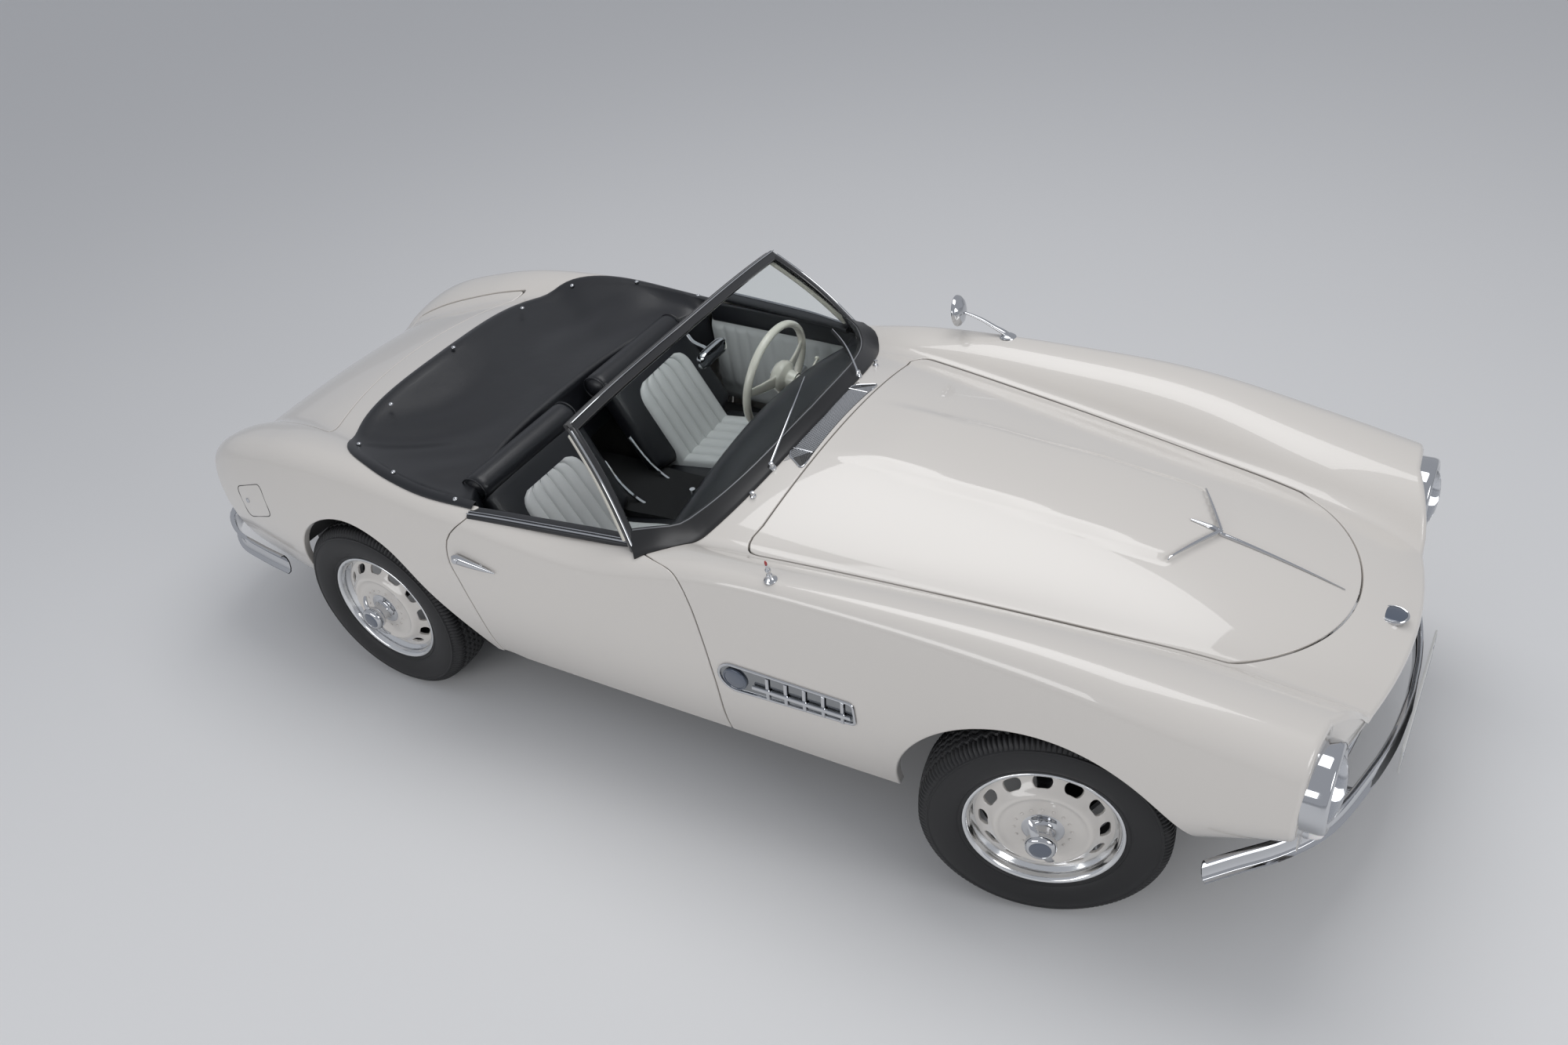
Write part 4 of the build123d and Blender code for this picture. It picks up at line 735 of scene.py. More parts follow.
def along(points, count):
    """Evenly spaced points on a smooth curve through the given ones."""
    fine = smooth_line(points, count * 4)
    s = lengths(fine)
    t = np.linspace(0, s[-1], count)
    return np.stack([np.interp(t, s, fine[:, k]) for k in range(fine.shape[1])], 1)


def swept(path, profile, up=(0, 0, 1), taper=None, caps=True):
    """A closed profile of (side, up) offsets carried along a path."""
    path, profile = np.array(path, float), np.array(profile, float)
    forward = np.gradient(path, axis=0)
    forward /= np.linalg.norm(forward, axis=1)[:, None]
    side = np.cross(forward, np.array(up, float))
    side /= np.linalg.norm(side, axis=1)[:, None]
    top = np.cross(side, forward)
    size = np.ones(len(path)) if taper is None else np.array(taper)
    rows = (path[:, None] + size[:, None, None] * (profile[None, :, 0, None] * side[:, None]
            + profile[None, :, 1, None] * top[:, None]))
    skin = grid(rows, closed_u=True)
    if caps:
        n = len(profile)
        skin.faces.append(list(range(n)))
        skin.faces.append([(len(path) - 1) * n + k for k in reversed(range(n))])
    return skin


def ring_profile(width, height, count=12, power=2.0):
    """A closed round or squarish profile."""
    turns = np.arange(count) * 2 * math.pi / count
    c, s = np.cos(turns), np.sin(turns)
    return np.stack([width / 2 * np.sign(c) * np.abs(c)**(2 / power),
                     height / 2 * np.sign(s) * np.abs(s)**(2 / power)], 1)


def tube(path, radius, sides=12):
    """A round bar along a path."""
    return swept(path, ring_profile(2 * radius, 2 * radius, sides))


def solid(name, skin, finish, body, replaced=(), sharp=35, move=True):
    """A piece whose outward side is worked out from its own faces."""
    if move:
        skin = moved(skin)
    item = piece(name, skin, finish, body, replaced, exact=False)
    mesh = item.data
    work = bmesh.new()
    work.from_mesh(mesh)
    bmesh.ops.remove_doubles(work, verts=work.verts, dist=1e-6)
    bmesh.ops.recalc_face_normals(work, faces=work.faces)
    work.to_mesh(mesh)
    work.free()
    mesh.polygons.foreach_set("use_smooth", [True] * len(mesh.polygons))
    mesh.set_sharp_from_angle(angle=math.radians(sharp))
    return item


def surface_z(x, y):
    """Height of the outer skin at a place in plan."""
    half = section(x)
    top = half[:np.argmax(half[:, 0]) + 1]
    return float(np.interp(abs(y), top[:, 0], top[:, 1])) + float(plateau(np.array([x]), np.array([y]))[0])


def surface_y(x, z):
    """Half width of the outer skin's side at a height."""
    half = section(x)
    side = half[np.argmax(half[:, 1] * (half[:, 0] > .5)):]
    return float(np.interp(-z, -side[:, 1], side[:, 0]))


def side_normal(x, z, e=.004):
    """Outward direction of the skin's left side at a height."""
    dy_dz = (surface_y(x, z + e) - surface_y(x, z - e)) / (2 * e)
    dy_dx = (surface_y(x + e, z) - surface_y(x - e, z)) / (2 * e)
    n = np.array((-dy_dx, 1, -dy_dz))
    return n / np.linalg.norm(n)


def side_point(x, z, side, out=0.0):
    """A point on the skin's left (1) or right (-1) side, moved outwards."""
    return (np.array((x, surface_y(x, z), z)) + out * side_normal(x, z)) * (1, side, 1)


def top_normal(x, y, e=.004):
    """Outward direction of the skin's top at a place in plan."""
    dz_dx = (surface_z(x + e, y) - surface_z(x - e, y)) / (2 * e)
    dz_dy = (surface_z(x, y + e) - surface_z(x, y - e)) / (2 * e)
    n = np.array((-dz_dx, -dz_dy, 1))
    return n / np.linalg.norm(n)


# ---------------------------------------------------------------- ends of the body
LAMP = dict(x=1.932, y=.640, z=.662, opening=.100)
GRILLE = dict(inner=.060, outer=.515, bottom=.492, top=.622, corner=.046)
VALANCE_Z = .432
CAP_CELL = .010


def lip_line(column, roll):
    """Inner edge of the rolled lip at the nose (column 1) or tail (column 3), as points (y, z)."""
    grid_points = Body.raw.points.reshape(-1, Body.columns, 3)
    normals = Body.raw.normals.reshape(-1, Body.columns, 3)
    found = []
    for k in range(Body.columns):
        line = grid_points[:, k]
        gap = line[:, 0] - end_x(line[:, 1], line[:, 2], column)
        change = np.where(np.diff(np.sign(gap)) != 0)[0]
        i = change[-1] if column == 1 else change[0]
        t = gap[i] / (gap[i] - gap[i + 1])
        facing = normals[i, k] + t * (normals[i + 1, k] - normals[i, k])
        slope = min(abs(facing[0]), .95)
        inset = roll * (1 - slope) / math.sqrt(1 - slope**2)
        inward = -facing[1:] / np.linalg.norm(facing[1:])
        found.append((line[i] + t * (line[i + 1] - line[i]))[1:] + inset * inward)
    return np.array(found)


def grille_outline(side):
    """The outline of one grille's opening, as points (y, z)."""
    g = GRILLE
    corners = [(g["inner"], g["bottom"]), (g["outer"], g["bottom"]), (g["outer"], g["top"]),
               (g["inner"], g["top"])]
    return rounded([(side * y, z) for y, z in corners][::side], g["corner"])


def cap(column, roll, bottom):
    """The face that closes the body's nose or tail, inside the rolled lip."""
    lip = lip_line(column, roll)
    low = [p for p in lip if p[1] > bottom + .02]
    outline = low + [(low[-1][0] * .97, bottom), (low[0][0] * .97, bottom)]
    y = np.arange(-.80, .801, CAP_CELL)
    z = np.arange(bottom - .02, .90, CAP_CELL)
    yy, zz = np.meshgrid(y, z)
    points = np.stack([end_x(yy, zz, column), yy, zz], 2)
    skin = grid(points)
    outward = 1 if column == 1 else -1
    if skin.normals[0][0] * outward < 0:
        skin.turn_over()
    across = skin.points[:, 1:]
    return skin.clip(outline_distance(across, outline) - .0005, CUT_NOSE)


class RoadsterEnds(bpy.types.Operator):
    """Build the nose and tail faces with their openings"""

    bl_idname = "roadster.ends"
    bl_label = "Nose and tail faces"

    def execute(self, context):
        nose = cap(1, NOSE_ROLL, VALANCE_Z)
        for side in (1, -1):
            nose = nose.clip(-outline_distance(nose.points[:, 1:], grille_outline(side)) + .006, CUT_MISC)
            lamp = np.hypot(nose.points[:, 1] - side * LAMP["y"], nose.points[:, 2] - LAMP["z"])
            nose = nose.clip(LAMP["opening"] - lamp, CUT_MISC)
        nose = nose.rolled(.0001, .002, {CUT_MISC: .006}, {CUT_MISC: .02})
        piece("nose_face", moved(nose), "paint", "body")
        tail = cap(3, TAIL_ROLL, .37).rolled(.0001, .002)
        piece("tail_face", moved(tail), "paint", "body")
        return {"FINISHED"}


# ---------------------------------------------------------------- road wheels
TYRE = dict(radius=.350, crown=.006, pitches=72, samples=6, groove=.0065)
RIM_FLANGE = [(.188, -.020), (.190, .040), (.200, .052), (.206, .064), (.213, .0685), (.2205, .0700),
              (.2225, .0745), (.2185, .0775), (.2120, .0755), (.2075, .0700), (.2040, .0600),
              (.1990, .0500)]
RIM_BARREL = [(.199, .050), (.196, .010), (.190, -.060), (.215, -.072)]
DISC = [(.1995, .030), (.1975, .034), (.1930, .0375), (.1860, .0405), (.1780, .0440), (.1690, .0490),
        (.1600, .0550), (.1500, .0630), (.1420, .0705), (.1350, .0760), (.1290, .0782), (.1230, .0770),
        (.1170, .0740), (.1100, .0724), (.1000, .0720), (.0600, .0720), (.0300, .0720)]
HUB = [(.060, .071), (.056, .0735), (.044, .0745), (.036, .078), (.0315, .086), (.030, .108), (.033, .114)]
SPINNER = [(.030, .108), (.036, .112), (.0425, .118), (.0440, .126), (.0435, .136), (.0405, .143),
           (.0360, .1470), (.0310, .1475), (.0300, .1465)]
CAP_DISC = [(.0300, .1465), (.0280, .1480), (.0200, .1493), (.0, .1497)]
SLOT = dict(count=12, radius=.1660, half_length=.0140, half_width=.0130)
RIVETS, RIVET_RING, RIVET_RADIUS, RIVET_PLACE = 16, .078, .0042, .0722


def wheel_place(name):
    """Centre and outboard direction of a road wheel."""
    joint = JOINTS[f"spin_{name}"]
    side = 1 if name.endswith("left") else -1
    return np.array(joint["pos_m"], float), np.array(joint["axis"], float) * side


def tyre_rows():
    """Profile of the tyre from the outboard bead round to the inboard one: radius, place."""
    half = [(.214, .060), (.2165, .0685), (.2215, .0740), (.2260, .0760), (.2275, .0785), (.2310, .0795),
            (.2335, .0785), (.2360, .0805), (.2460, .0860), (.2600, .0900), (.2750, .0920), (.2900, .0925),
            (.3030, .0908), (.3120, .0880), (.3150, .0895), (.3185, .0890), (.3200, .0850), (.3260, .0820),
            (.3320, .0785), (.3370, .0740), (.3410, .0690), (.3440, .0630)]
    edge = half[-1][1]
    tread = [(TYRE["radius"] - TYRE["crown"] * (a / edge)**2, a) for a in np.linspace(edge - .004, 0, 16)]
    outboard = half + tread
    return np.array(outboard + [(r, -a) for r, a in reversed(outboard[:-1])])


def tread_depth(turn, place):
    """Depth of the grooves at an angle (in pitches) and a place across the tread."""
    zig = (2 * np.abs((turn % 1) - .5) - .5) * .010
    depth = np.zeros(np.broadcast(turn, place).shape)
    for line in (-.045, -.022, 0.0, .022, .045):
        depth = np.maximum(depth, np.clip(1.6 - np.abs(place - line - zig) / .0022, 0, 1))
    sipe = np.clip(1.5 - np.abs(((turn + .25) % .5) - .25) / .055, 0, 1)
    shoulder = (np.abs(place) > .047) & (np.abs(place) < .084)
    return np.maximum(depth * (np.abs(place) < .055), sipe * shoulder) * TYRE["groove"]


def tyre_skin(centre, axis):
    """The tyre with its tread cut in."""
    profile = tyre_rows()
    count = TYRE["pitches"] * TYRE["samples"]
    skin = lathe(profile, (0, 0, 0), axis, count)
    turn = np.repeat(np.arange(count) / TYRE["samples"], len(profile))
    place = np.tile(profile[:, 1], count)
    radius = np.tile(profile[:, 0], count)
    axis = np.array(axis)
    outward = skin.points - place[:, None] * axis
    outward /= np.linalg.norm(outward, axis=1)[:, None]
    depth = tread_depth(turn, place) * (radius > .322)
    points = skin.points - depth[:, None] * outward + np.array(centre)
    return Skin(points, skin.normals, skin.faces)


def disc_skin(centre, axis, profile, count=144):
    """The pressed wheel disc with its ring of slots."""
    dense = along(profile, 60)
    skin = lathe(dense, (0, 0, 0), axis, count)
    axis = np.array(axis)
    if skin.normals[30] @ axis < 0:
        skin.turn_over()
    flat = skin.points - (skin.points @ axis)[:, None] * axis
    across, up = across_and_up(axis)
    radius = np.linalg.norm(flat, axis=1)
    turn = np.arctan2(flat @ up, flat @ across)
    pitch = 2 * math.pi / SLOT["count"]
    off = (turn + pitch / 2) % pitch - pitch / 2
    sideways = np.maximum(np.abs(off * SLOT["radius"]) - SLOT["half_length"], 0)
    inside = np.hypot(sideways, radius - SLOT["radius"]) - SLOT["half_width"]
    skin = skin.clip(-inside + .003, CUT_MISC).rolled(.003, .006)
    skin.points = skin.points + np.array(centre)
    return skin


class RoadsterWheels(bpy.types.Operator):
    """Build the tyres, rims, slotted discs and knock-offs"""

    bl_idname = "roadster.wheels"
    bl_label = "Road wheels"

    def execute(self, context):
        for name in ("front_left", "front_right", "rear_left", "rear_right"):
            centre, axis = wheel_place(name)
            body = f"road_wheel_{name}"
            tyre = tyre_skin(centre, axis)
            solid(f"tyre_{name}_rubber", tyre, "tyre", body, [f"tyre_{name}"], 30, False)
            rim = lathe(soft(RIM_FLANGE, .002), centre, axis, 128)
            solid(f"rim_{name}", rim, "alloy", body, (), 40, False)
            disc = disc_skin(centre, axis, DISC)
            piece(f"disc_{name}", disc, "paint", body, [f"wheel_{name}"])
            barrel = lathe(soft(RIM_BARREL, .004), centre, axis, 96)
            solid(f"rim_inner_{name}", barrel, "black_paint", body, (), 40, False)
            hub = lathe(soft(HUB, .003), centre, axis, 64)
            solid(f"hub_{name}", hub, "chrome", body, (), 40, False)
            spinner = lathe(soft(SPINNER, .003), centre, axis, 64)
            ears = self.ears(centre, axis)
            solid(f"knock_off_{name}", joined(spinner, *ears), "chrome", body, (), 30, False)
            face = lathe(CAP_DISC, centre, axis, 48)
            solid(f"knock_off_disc_{name}", face, "enamel", body, (), 30, False)
            solid(f"rivets_{name}", self.rivets(centre, axis), "paint", body, (), 60, False)
        return {"FINISHED"}

    @staticmethod
    def ears(centre, axis):
        axis = np.array(axis)
        made = []
        lean = math.radians(20)
        across = across_and_up(axis)[0]
        for side in (1, -1):
            ray = side * (math.cos(lean) * np.array((0, 0, 1.0)) + math.sin(lean) * across)
            start = np.array(centre) + .130 * axis + .034 * ray
            end = np.array(centre) + .112 * axis + .084 * ray
            path = [start + t * (end - start) + .006 * math.sin(t * math.pi) * axis
                    for t in np.linspace(0, 1, 9)]
            made.append(swept(path, ring_profile(.024, .012, 14, 3), up=axis,
                              taper=[1.25, 1.15, 1.05, .98, .92, .86, .80, .72, .5]))
        return made

    @staticmethod
    def rivets(centre, axis):
        axis = np.array(axis)
        across, up = across_and_up(axis)
        made = []
        for k in range(RIVETS):
            turn = 2 * math.pi * k / RIVETS
            ray = math.cos(turn) * across + math.sin(turn) * up
            place = np.array(centre) + RIVET_PLACE * axis + RIVET_RING * ray
            dome = [(RIVET_RADIUS, 0), (RIVET_RADIUS * .85, .002), (RIVET_RADIUS * .5, .0034), (0, .0038)]
            made.append(lathe(dome, place, axis, 12))
        return joined(*made)


# ---------------------------------------------------------------- lamps
BEZEL = [(.112, -.045), (.1195, -.040), (.1195, .006), (.1165, .018), (.108, .0235), (.099, .0215),
         (.0935, .014), (.092, .006)]
LENS = [(.0925, .010), (.088, .018), (.074, .029), (.052, .037), (.026, .041), (0, .0425)]
BOWL = [(.0925, .008), (.085, -.008), (.066, -.028), (.040, -.042), (.016, -.048), (0, -.049)]
BULB = [(.0, .0), (.010, -.004), (.014, -.014), (.010, -.030), (.009, -.046)]
TURN_LAMP = (1.906, .650, .508)
TURN_CUP = [(.0, -.070), (.012, -.062), (.022, -.035), (.0265, -.005), (.0265, .004), (.023, .006)]
TURN_DOME = [(.0245, .002), (.0245, .012), (.022, .024), (.015, .034), (.007, .038), (0, .039)]
TAIL_LAMP = (.610, .665)
TAIL_RING = [(.030, .012), (.042, .004), (.042, -.006), (.037, -.012), (.034, -.010)]
TAIL_LENS = [(.0345, -.008), (.032, -.020), (.024, -.030), (.012, -.035), (0, -.036)]


class RoadsterLamps(bpy.types.Operator):
    """Build the headlamps, indicators and tail lamps"""

    bl_idname = "roadster.lamps"
    bl_label = "Lamps"

    def execute(self, context):
        bezels, lenses, bowls, bulbs = [], [], [], []
        for side in (1, -1):
            centre = (LAMP["x"], side * LAMP["y"], LAMP["z"])
            bezels.append(lathe(soft(BEZEL, .003), centre, (1, 0, 0), 96))
            lenses.append(lathe(LENS, centre, (1, 0, 0), 64))
            bowls.append(lathe(BOWL, centre, (1, 0, 0), 64))
            bulbs.append(lathe(BULB, centre, (1, 0, 0), 24))
        solid("headlamp_rings", joined(*bezels), "chrome", "body", ["headlamp_bezels"])
        solid("headlamp_lenses", joined(*lenses), "lens", "body", ["headlamps"])
        solid("headlamp_bowls", joined(*bowls), "chrome", "body")
        solid("headlamp_bulbs", joined(*bulbs), "white_lens", "body")
        cups, domes = [], []
        for side in (1, -1):
            x, y, z = TURN_LAMP
            cups.append(lathe(soft(TURN_CUP, .003), (x, side * y, z), (1, 0, 0), 32))
            domes.append(lathe(TURN_DOME, (x, side * y, z), (1, 0, 0), 32))
        solid("indicator_cups", joined(*cups), "chrome", "body")
        solid("indicator_domes", joined(*domes), "white_lens", "body", ["indicators"])
        rings, reds = [], []
        for side in (1, -1):
            y, z = TAIL_LAMP
            centre = (float(end_x(np.array(y), np.array(z), 3)), side * y, z)
            rings.append(lathe(soft(TAIL_RING, .002), centre, (1, 0, 0), 48))
            reds.append(lathe(TAIL_LENS, centre, (1, 0, 0), 48))
        solid("tail_lamp_rings", joined(*rings), "chrome", "body")
        solid("tail_lamp_lenses", joined(*reds), "red_lens", "body", ["tail_lamps"])
        return {"FINISHED"}


# ---------------------------------------------------------------- bumpers, grilles and trim
FRONT_BLADE = [(1.700, .812), (1.760, .752), (1.850, .665), (1.930, .555), (2.000, .340), (2.034, .160),
               (2.044, 0)]
REAR_BLADE = [(-1.725, .792), (-1.880, .772), (-2.050, .735), (-2.170, .650), (-2.225, .480),
              (-2.248, .240), (-2.254, 0)]
BLADE_MID, BLADE_HALF = .416, .042
VENT = (.262, .716, .536, .642)         # rear, front, bottom, top
HANDLE = dict(rear=-.736, length=.170, z=.748, fall=.018)
NOSE_DISC_X = 1.956
BLANK_FACE = [(.0345, .006), (.03, .0078), (.015, .009), (0, .0095)]


def blade(points, mid_z):
    """A bumper blade from half of its line in plan, with its ends drawn in."""
    half = along(points, 40)
    full = np.concatenate([half, half[-2::-1] * np.array((1, -1))])
    path = np.column_stack([full, np.full(len(full), mid_z)])
    ends = np.minimum(np.arange(len(path)), np.arange(len(path))[::-1])
    taper = np.clip(.55 + ends * .09, 0, 1)
    h = BLADE_HALF
    outer = [(-.002, -h), (.010, -h * .93), (.016, -h * .55), (.019, 0), (.016, h * .55), (.010, h * .93),
             (-.002, h)]
    inner = [(x - .004, z * .93) for x, z in reversed(outer)]
    forward = 1 if points[-1][0] > 0 else -1
    profile = soft([*outer, *inner], .001, 2)
    return swept(path, [(forward * s, z) for s, z in profile])


class RoadsterBrightwork(bpy.types.Operator):
    """Build the bumpers, grilles, vents, handles and the bonnet's trim"""

    bl_idname = "roadster.brightwork"
    bl_label = "Brightwork"

    def execute(self, context):
        for name, line in (("front", FRONT_BLADE), ("rear", REAR_BLADE)):
            solid(f"{name}_blade", blade(line, BLADE_MID), "chrome", "body", [f"{name}_bumper"])
        irons = []
        for side in (1, -1):
            irons.append(tube([(1.72, side * .40, .29), (1.74, side * .40, .38), (1.84, side * .40, .412),
                               (1.975, side * .40, .416)], .013))
            irons.append(tube([(-2.02, side * .32, .29), (-2.06, side * .32, .38),
                               (-2.12, side * .32, .412), (-2.225, side * .32, .416)], .013))
            guard = [(-2.243, side * .335, z) for z in np.linspace(.372, .468, 9)]
            irons.append(swept(guard, ring_profile(.040, .030, 14, 2.6), up=(1, 0, 0),
                               taper=[.6, .85, .95, 1, 1, 1, .95, .85, .6]))
        solid("bumper_irons", joined(*irons), "chrome", "body")
        self.grilles()
        self.vents()
        self.handles()
        self.bonnet_trim()
        return {"FINISHED"}

    @staticmethod
    def grilles():
        frames, slats, backs = [], [], []
        for side in (1, -1):
            line = np.array(grille_outline(side))
            line = np.array([p for k, p in enumerate(line) if np.linalg.norm(p - line[k - 1]) > 1e-5])
            x = end_x(line[:, 0], line[:, 1], 1)
            path = np.column_stack([x + .002, line])
            path = np.concatenate([path, path[:2]])
            frames.append(swept(path, ring_profile(.011, .009, 8), up=(1, 0, 0), caps=False))
            g = GRILLE
            for k in range(5):
                z = g["bottom"] + (k + .7) * (g["top"] - g["bottom"]) / 5.2
                ys = np.linspace(g["inner"] + .012, g["outer"] - .012, 14)
                x = end_x(ys, np.full(14, z), 1) - .022
                slats.append(swept(np.column_stack([x, side * ys, np.full(14, z)]),
                                   ring_profile(.004, .012, 8, 3)))
            for k in range(13):
                y = g["inner"] + .03 + k * (g["outer"] - g["inner"] - .06) / 12
                zs = np.linspace(g["bottom"] + .004, g["top"] - .004, 6)
                x = end_x(np.full(6, y), zs, 1) - .030
                slats.append(swept(np.column_stack([x, np.full(6, side * y), zs]),
                                   ring_profile(.004, .005, 6), up=(1, 0, 0)))
            ys, zs = np.meshgrid(np.linspace(.03, .53, 10), np.linspace(.47, .64, 5))
            backs.append(grid(np.stack([end_x(ys, zs, 1) - .075, side * ys, zs], 2)))
        solid("grille_frames", joined(*frames), "chrome", "body", ["grilles"])
        solid("grille_slats", joined(*slats), "chrome", "body")
        solid("grille_backs", joined(*backs), "black_paint", "body")

    @staticmethod
    def vents():
        """A long round-ended chrome frame with one bar and five fins on each side, round a flat floor on
        the skin whose darkened chrome is painted shade of a recess.
        """
        frames, floors, discs = [], [], []
        x0, x1, z0, z1 = VENT
        mid, half = (z0 + z1) / 2, (z1 - z0) / 2
        for side in (1, -1):
            outline = []
            for t in np.linspace(math.pi / 2, 3 * math.pi / 2, 14):
                outline.append((x0 + half + half * math.cos(t), mid + half * math.sin(t)))
            corners = [(x0 + half, z0), (x1, z0 + .018), (x1, z1 - .006), (x0 + half, z1)]
            outline += [tuple(p) for p in soft(corners, .016, 5)[1:-1]]
            path = np.array([side_point(x, z, side, .003) for x, z in outline])
            path = np.concatenate([path, path[:2]])
            frames.append(swept(path, ring_profile(.010, .008, 10), up=(0, 1, 0), caps=False))
            xs, zs = np.meshgrid(np.linspace(x0 - .01, x1 + .01, 40), np.linspace(z0 - .01, z1 + .01, 12))
            flat = np.array([[side_point(x, z, side, .0015) for x, z in zip(rx, rz)]
                             for rx, rz in zip(xs, zs)])
            floor = grid(flat)
            inside = outline_distance(np.stack([xs.ravel(), zs.ravel()], 1), outline)
            floors.append(floor.clip(inside))
            bar = [side_point(x, mid - .006, side, .009) for x in np.linspace(x0 + .12, x1 - .008, 16)]
            frames.append(swept(bar, ring_profile(.010, .014, 10, 3)))
            for k in range(5):
                x = x0 + .165 + k * .062
                fin = [side_point(x + .010 * t, z0 + .012 + t * (z1 - z0 - .020), side, .006)
                       for t in np.linspace(0, 1, 5)]
                frames.append(swept(fin, ring_profile(.012, .005, 8, 3), up=(0, 1, 0)))
            n = side_normal(x0 + half + .004, mid) * (1, side, 1)
            centre = side_point(x0 + half + .004, mid, side, .002)
            rim = soft([(.041, 0), (.041, .006), (.036, .009), (.034, .007)], .001)
            discs += [lathe(rim, centre, n, 48), lathe(BLANK_FACE, centre, n, 48)]
        solid("vent_frames", joined(*frames), "chrome", "body", ["side_vents"])
        # the floors sit flat on the skin; their darkened chrome is painted shade and reflection standing in
        # for a recess
        solid("vent_floors", joined(*floors), "dark_chrome", "body")
        solid("vent_discs", joined(*discs), "enamel", "body")

    @staticmethod
    def handles():
        rear, length = HANDLE["rear"], HANDLE["length"]
        for side, name in ((1, "left"), (-1, "right")):
            path, taper = [], []
            for x in np.linspace(rear, rear + length, 22):
                t = (x - rear) / length
                path.append(side_point(x, HANDLE["z"] - HANDLE["fall"] * t, side, .013 - .005 * t))
                taper.append(min(1, .5 + t * 6) * (1.05 - .93 * t**1.6))
            parts = [swept(path, ring_profile(.026, .038, 18), taper=taper)]
            for t in (.12, .62):
                x, z = rear + length * t, HANDLE["z"] - HANDLE["fall"] * t
                n = side_normal(x, z) * (1, side, 1)
                foot = [(.009, -.002), (.007, .004), (.007, .012)]
                parts.append(lathe(foot, side_point(x, z, side), n, 16))
            x, z = -.716, .747
            n = side_normal(x, z) * (1, side, 1)
            button = soft([(.0105, .014), (.0105, .0285), (.0085, .0298), (0, .0298)], .001)
            parts.append(lathe(button, side_point(x, z, side), n, 20))
            solid(f"door_grip_{name}", joined(*parts), "chrome", f"door_{name}",
                  [f"door_handle_{name}"])

    @staticmethod
    def bonnet_trim():
        spear = [(x, 0, surface_z(x, 0) + .003) for x in np.linspace(1.400, 1.828, 40)]
        t = np.linspace(0, 1, 40)
        taper = np.minimum(1, .35 + 5 * t) * (1 - .85 * t)
        parts = [swept(spear, ring_profile(.018, .016, 10), taper=taper)]
        for side in (1, -1):
            line = []
            for s in np.linspace(0, 1, 26):
                y = PLATEAU["half"][1] * s
                x = PLATEAU["tip"] - (PLATEAU["tip"] - PLATEAU["shoulder"]) * s + .004
                line.append((x + .003, side * y, surface_z(x - .020, y) - .001))
            parts.append(swept(line, ring_profile(.010, .014, 10), taper=1 - .6 * np.linspace(0, 1, 26)**2))
        solid("bonnet_spear", joined(*parts), "chrome", "bonnet", ["bonnet_trim"])
        n, centre = top_normal(NOSE_DISC_X, 0), (NOSE_DISC_X, 0, surface_z(NOSE_DISC_X, 0))
        rim = [(.041, -.006), (.041, .005), (.037, .009), (.034, .007)]
        badge = lathe(soft(rim, .001), centre, n, 48)
        face = lathe(BLANK_FACE, centre, n, 48)
        solid("nose_disc_rim", badge, "chrome", "body")
        solid("nose_disc", face, "enamel", "body")


# ---------------------------------------------------------------- windscreen
SCREEN_FOOT = [(.200, 0), (.197, .08), (.186, .216), (.158, .370), (.100, .530), (.036, .635),
               (-.055, .703)]
SCREEN_HEAD_X, SCREEN_HEAD_Y, SCREEN_HEAD_Z = (-.275, -.287), .595, (1.222, 1.200)
SCREEN_BOW = np.array((.012, 0, .010))
WIPER_X = .194


def screen_lines(count=49):
    """Foot and head lines of the glass from right to left."""
    half = along(SCREEN_FOOT, (count + 1) // 2)
    foot = np.concatenate([half[::-1] * np.array((1, -1)), half[1:]])
    foot = np.array([(x, y, surface_z(x, y) + .014) for x, y in foot])
    s = np.linspace(-1, 1, count)
    across = np.sign(s) * np.abs(s)**1.08
    head = np.column_stack([SCREEN_HEAD_X[0] + (SCREEN_HEAD_X[1] - SCREEN_HEAD_X[0]) * s**2,
                            SCREEN_HEAD_Y * across,
                            SCREEN_HEAD_Z[0] + (SCREEN_HEAD_Z[1] - SCREEN_HEAD_Z[0]) * np.abs(s)**3])
    return foot, head


def bowed(foot, head, t):
    """A point between the foot and head lines, on the glass's slight curve."""
    return foot + t * (head - foot) + math.sin(math.pi * t) * SCREEN_BOW


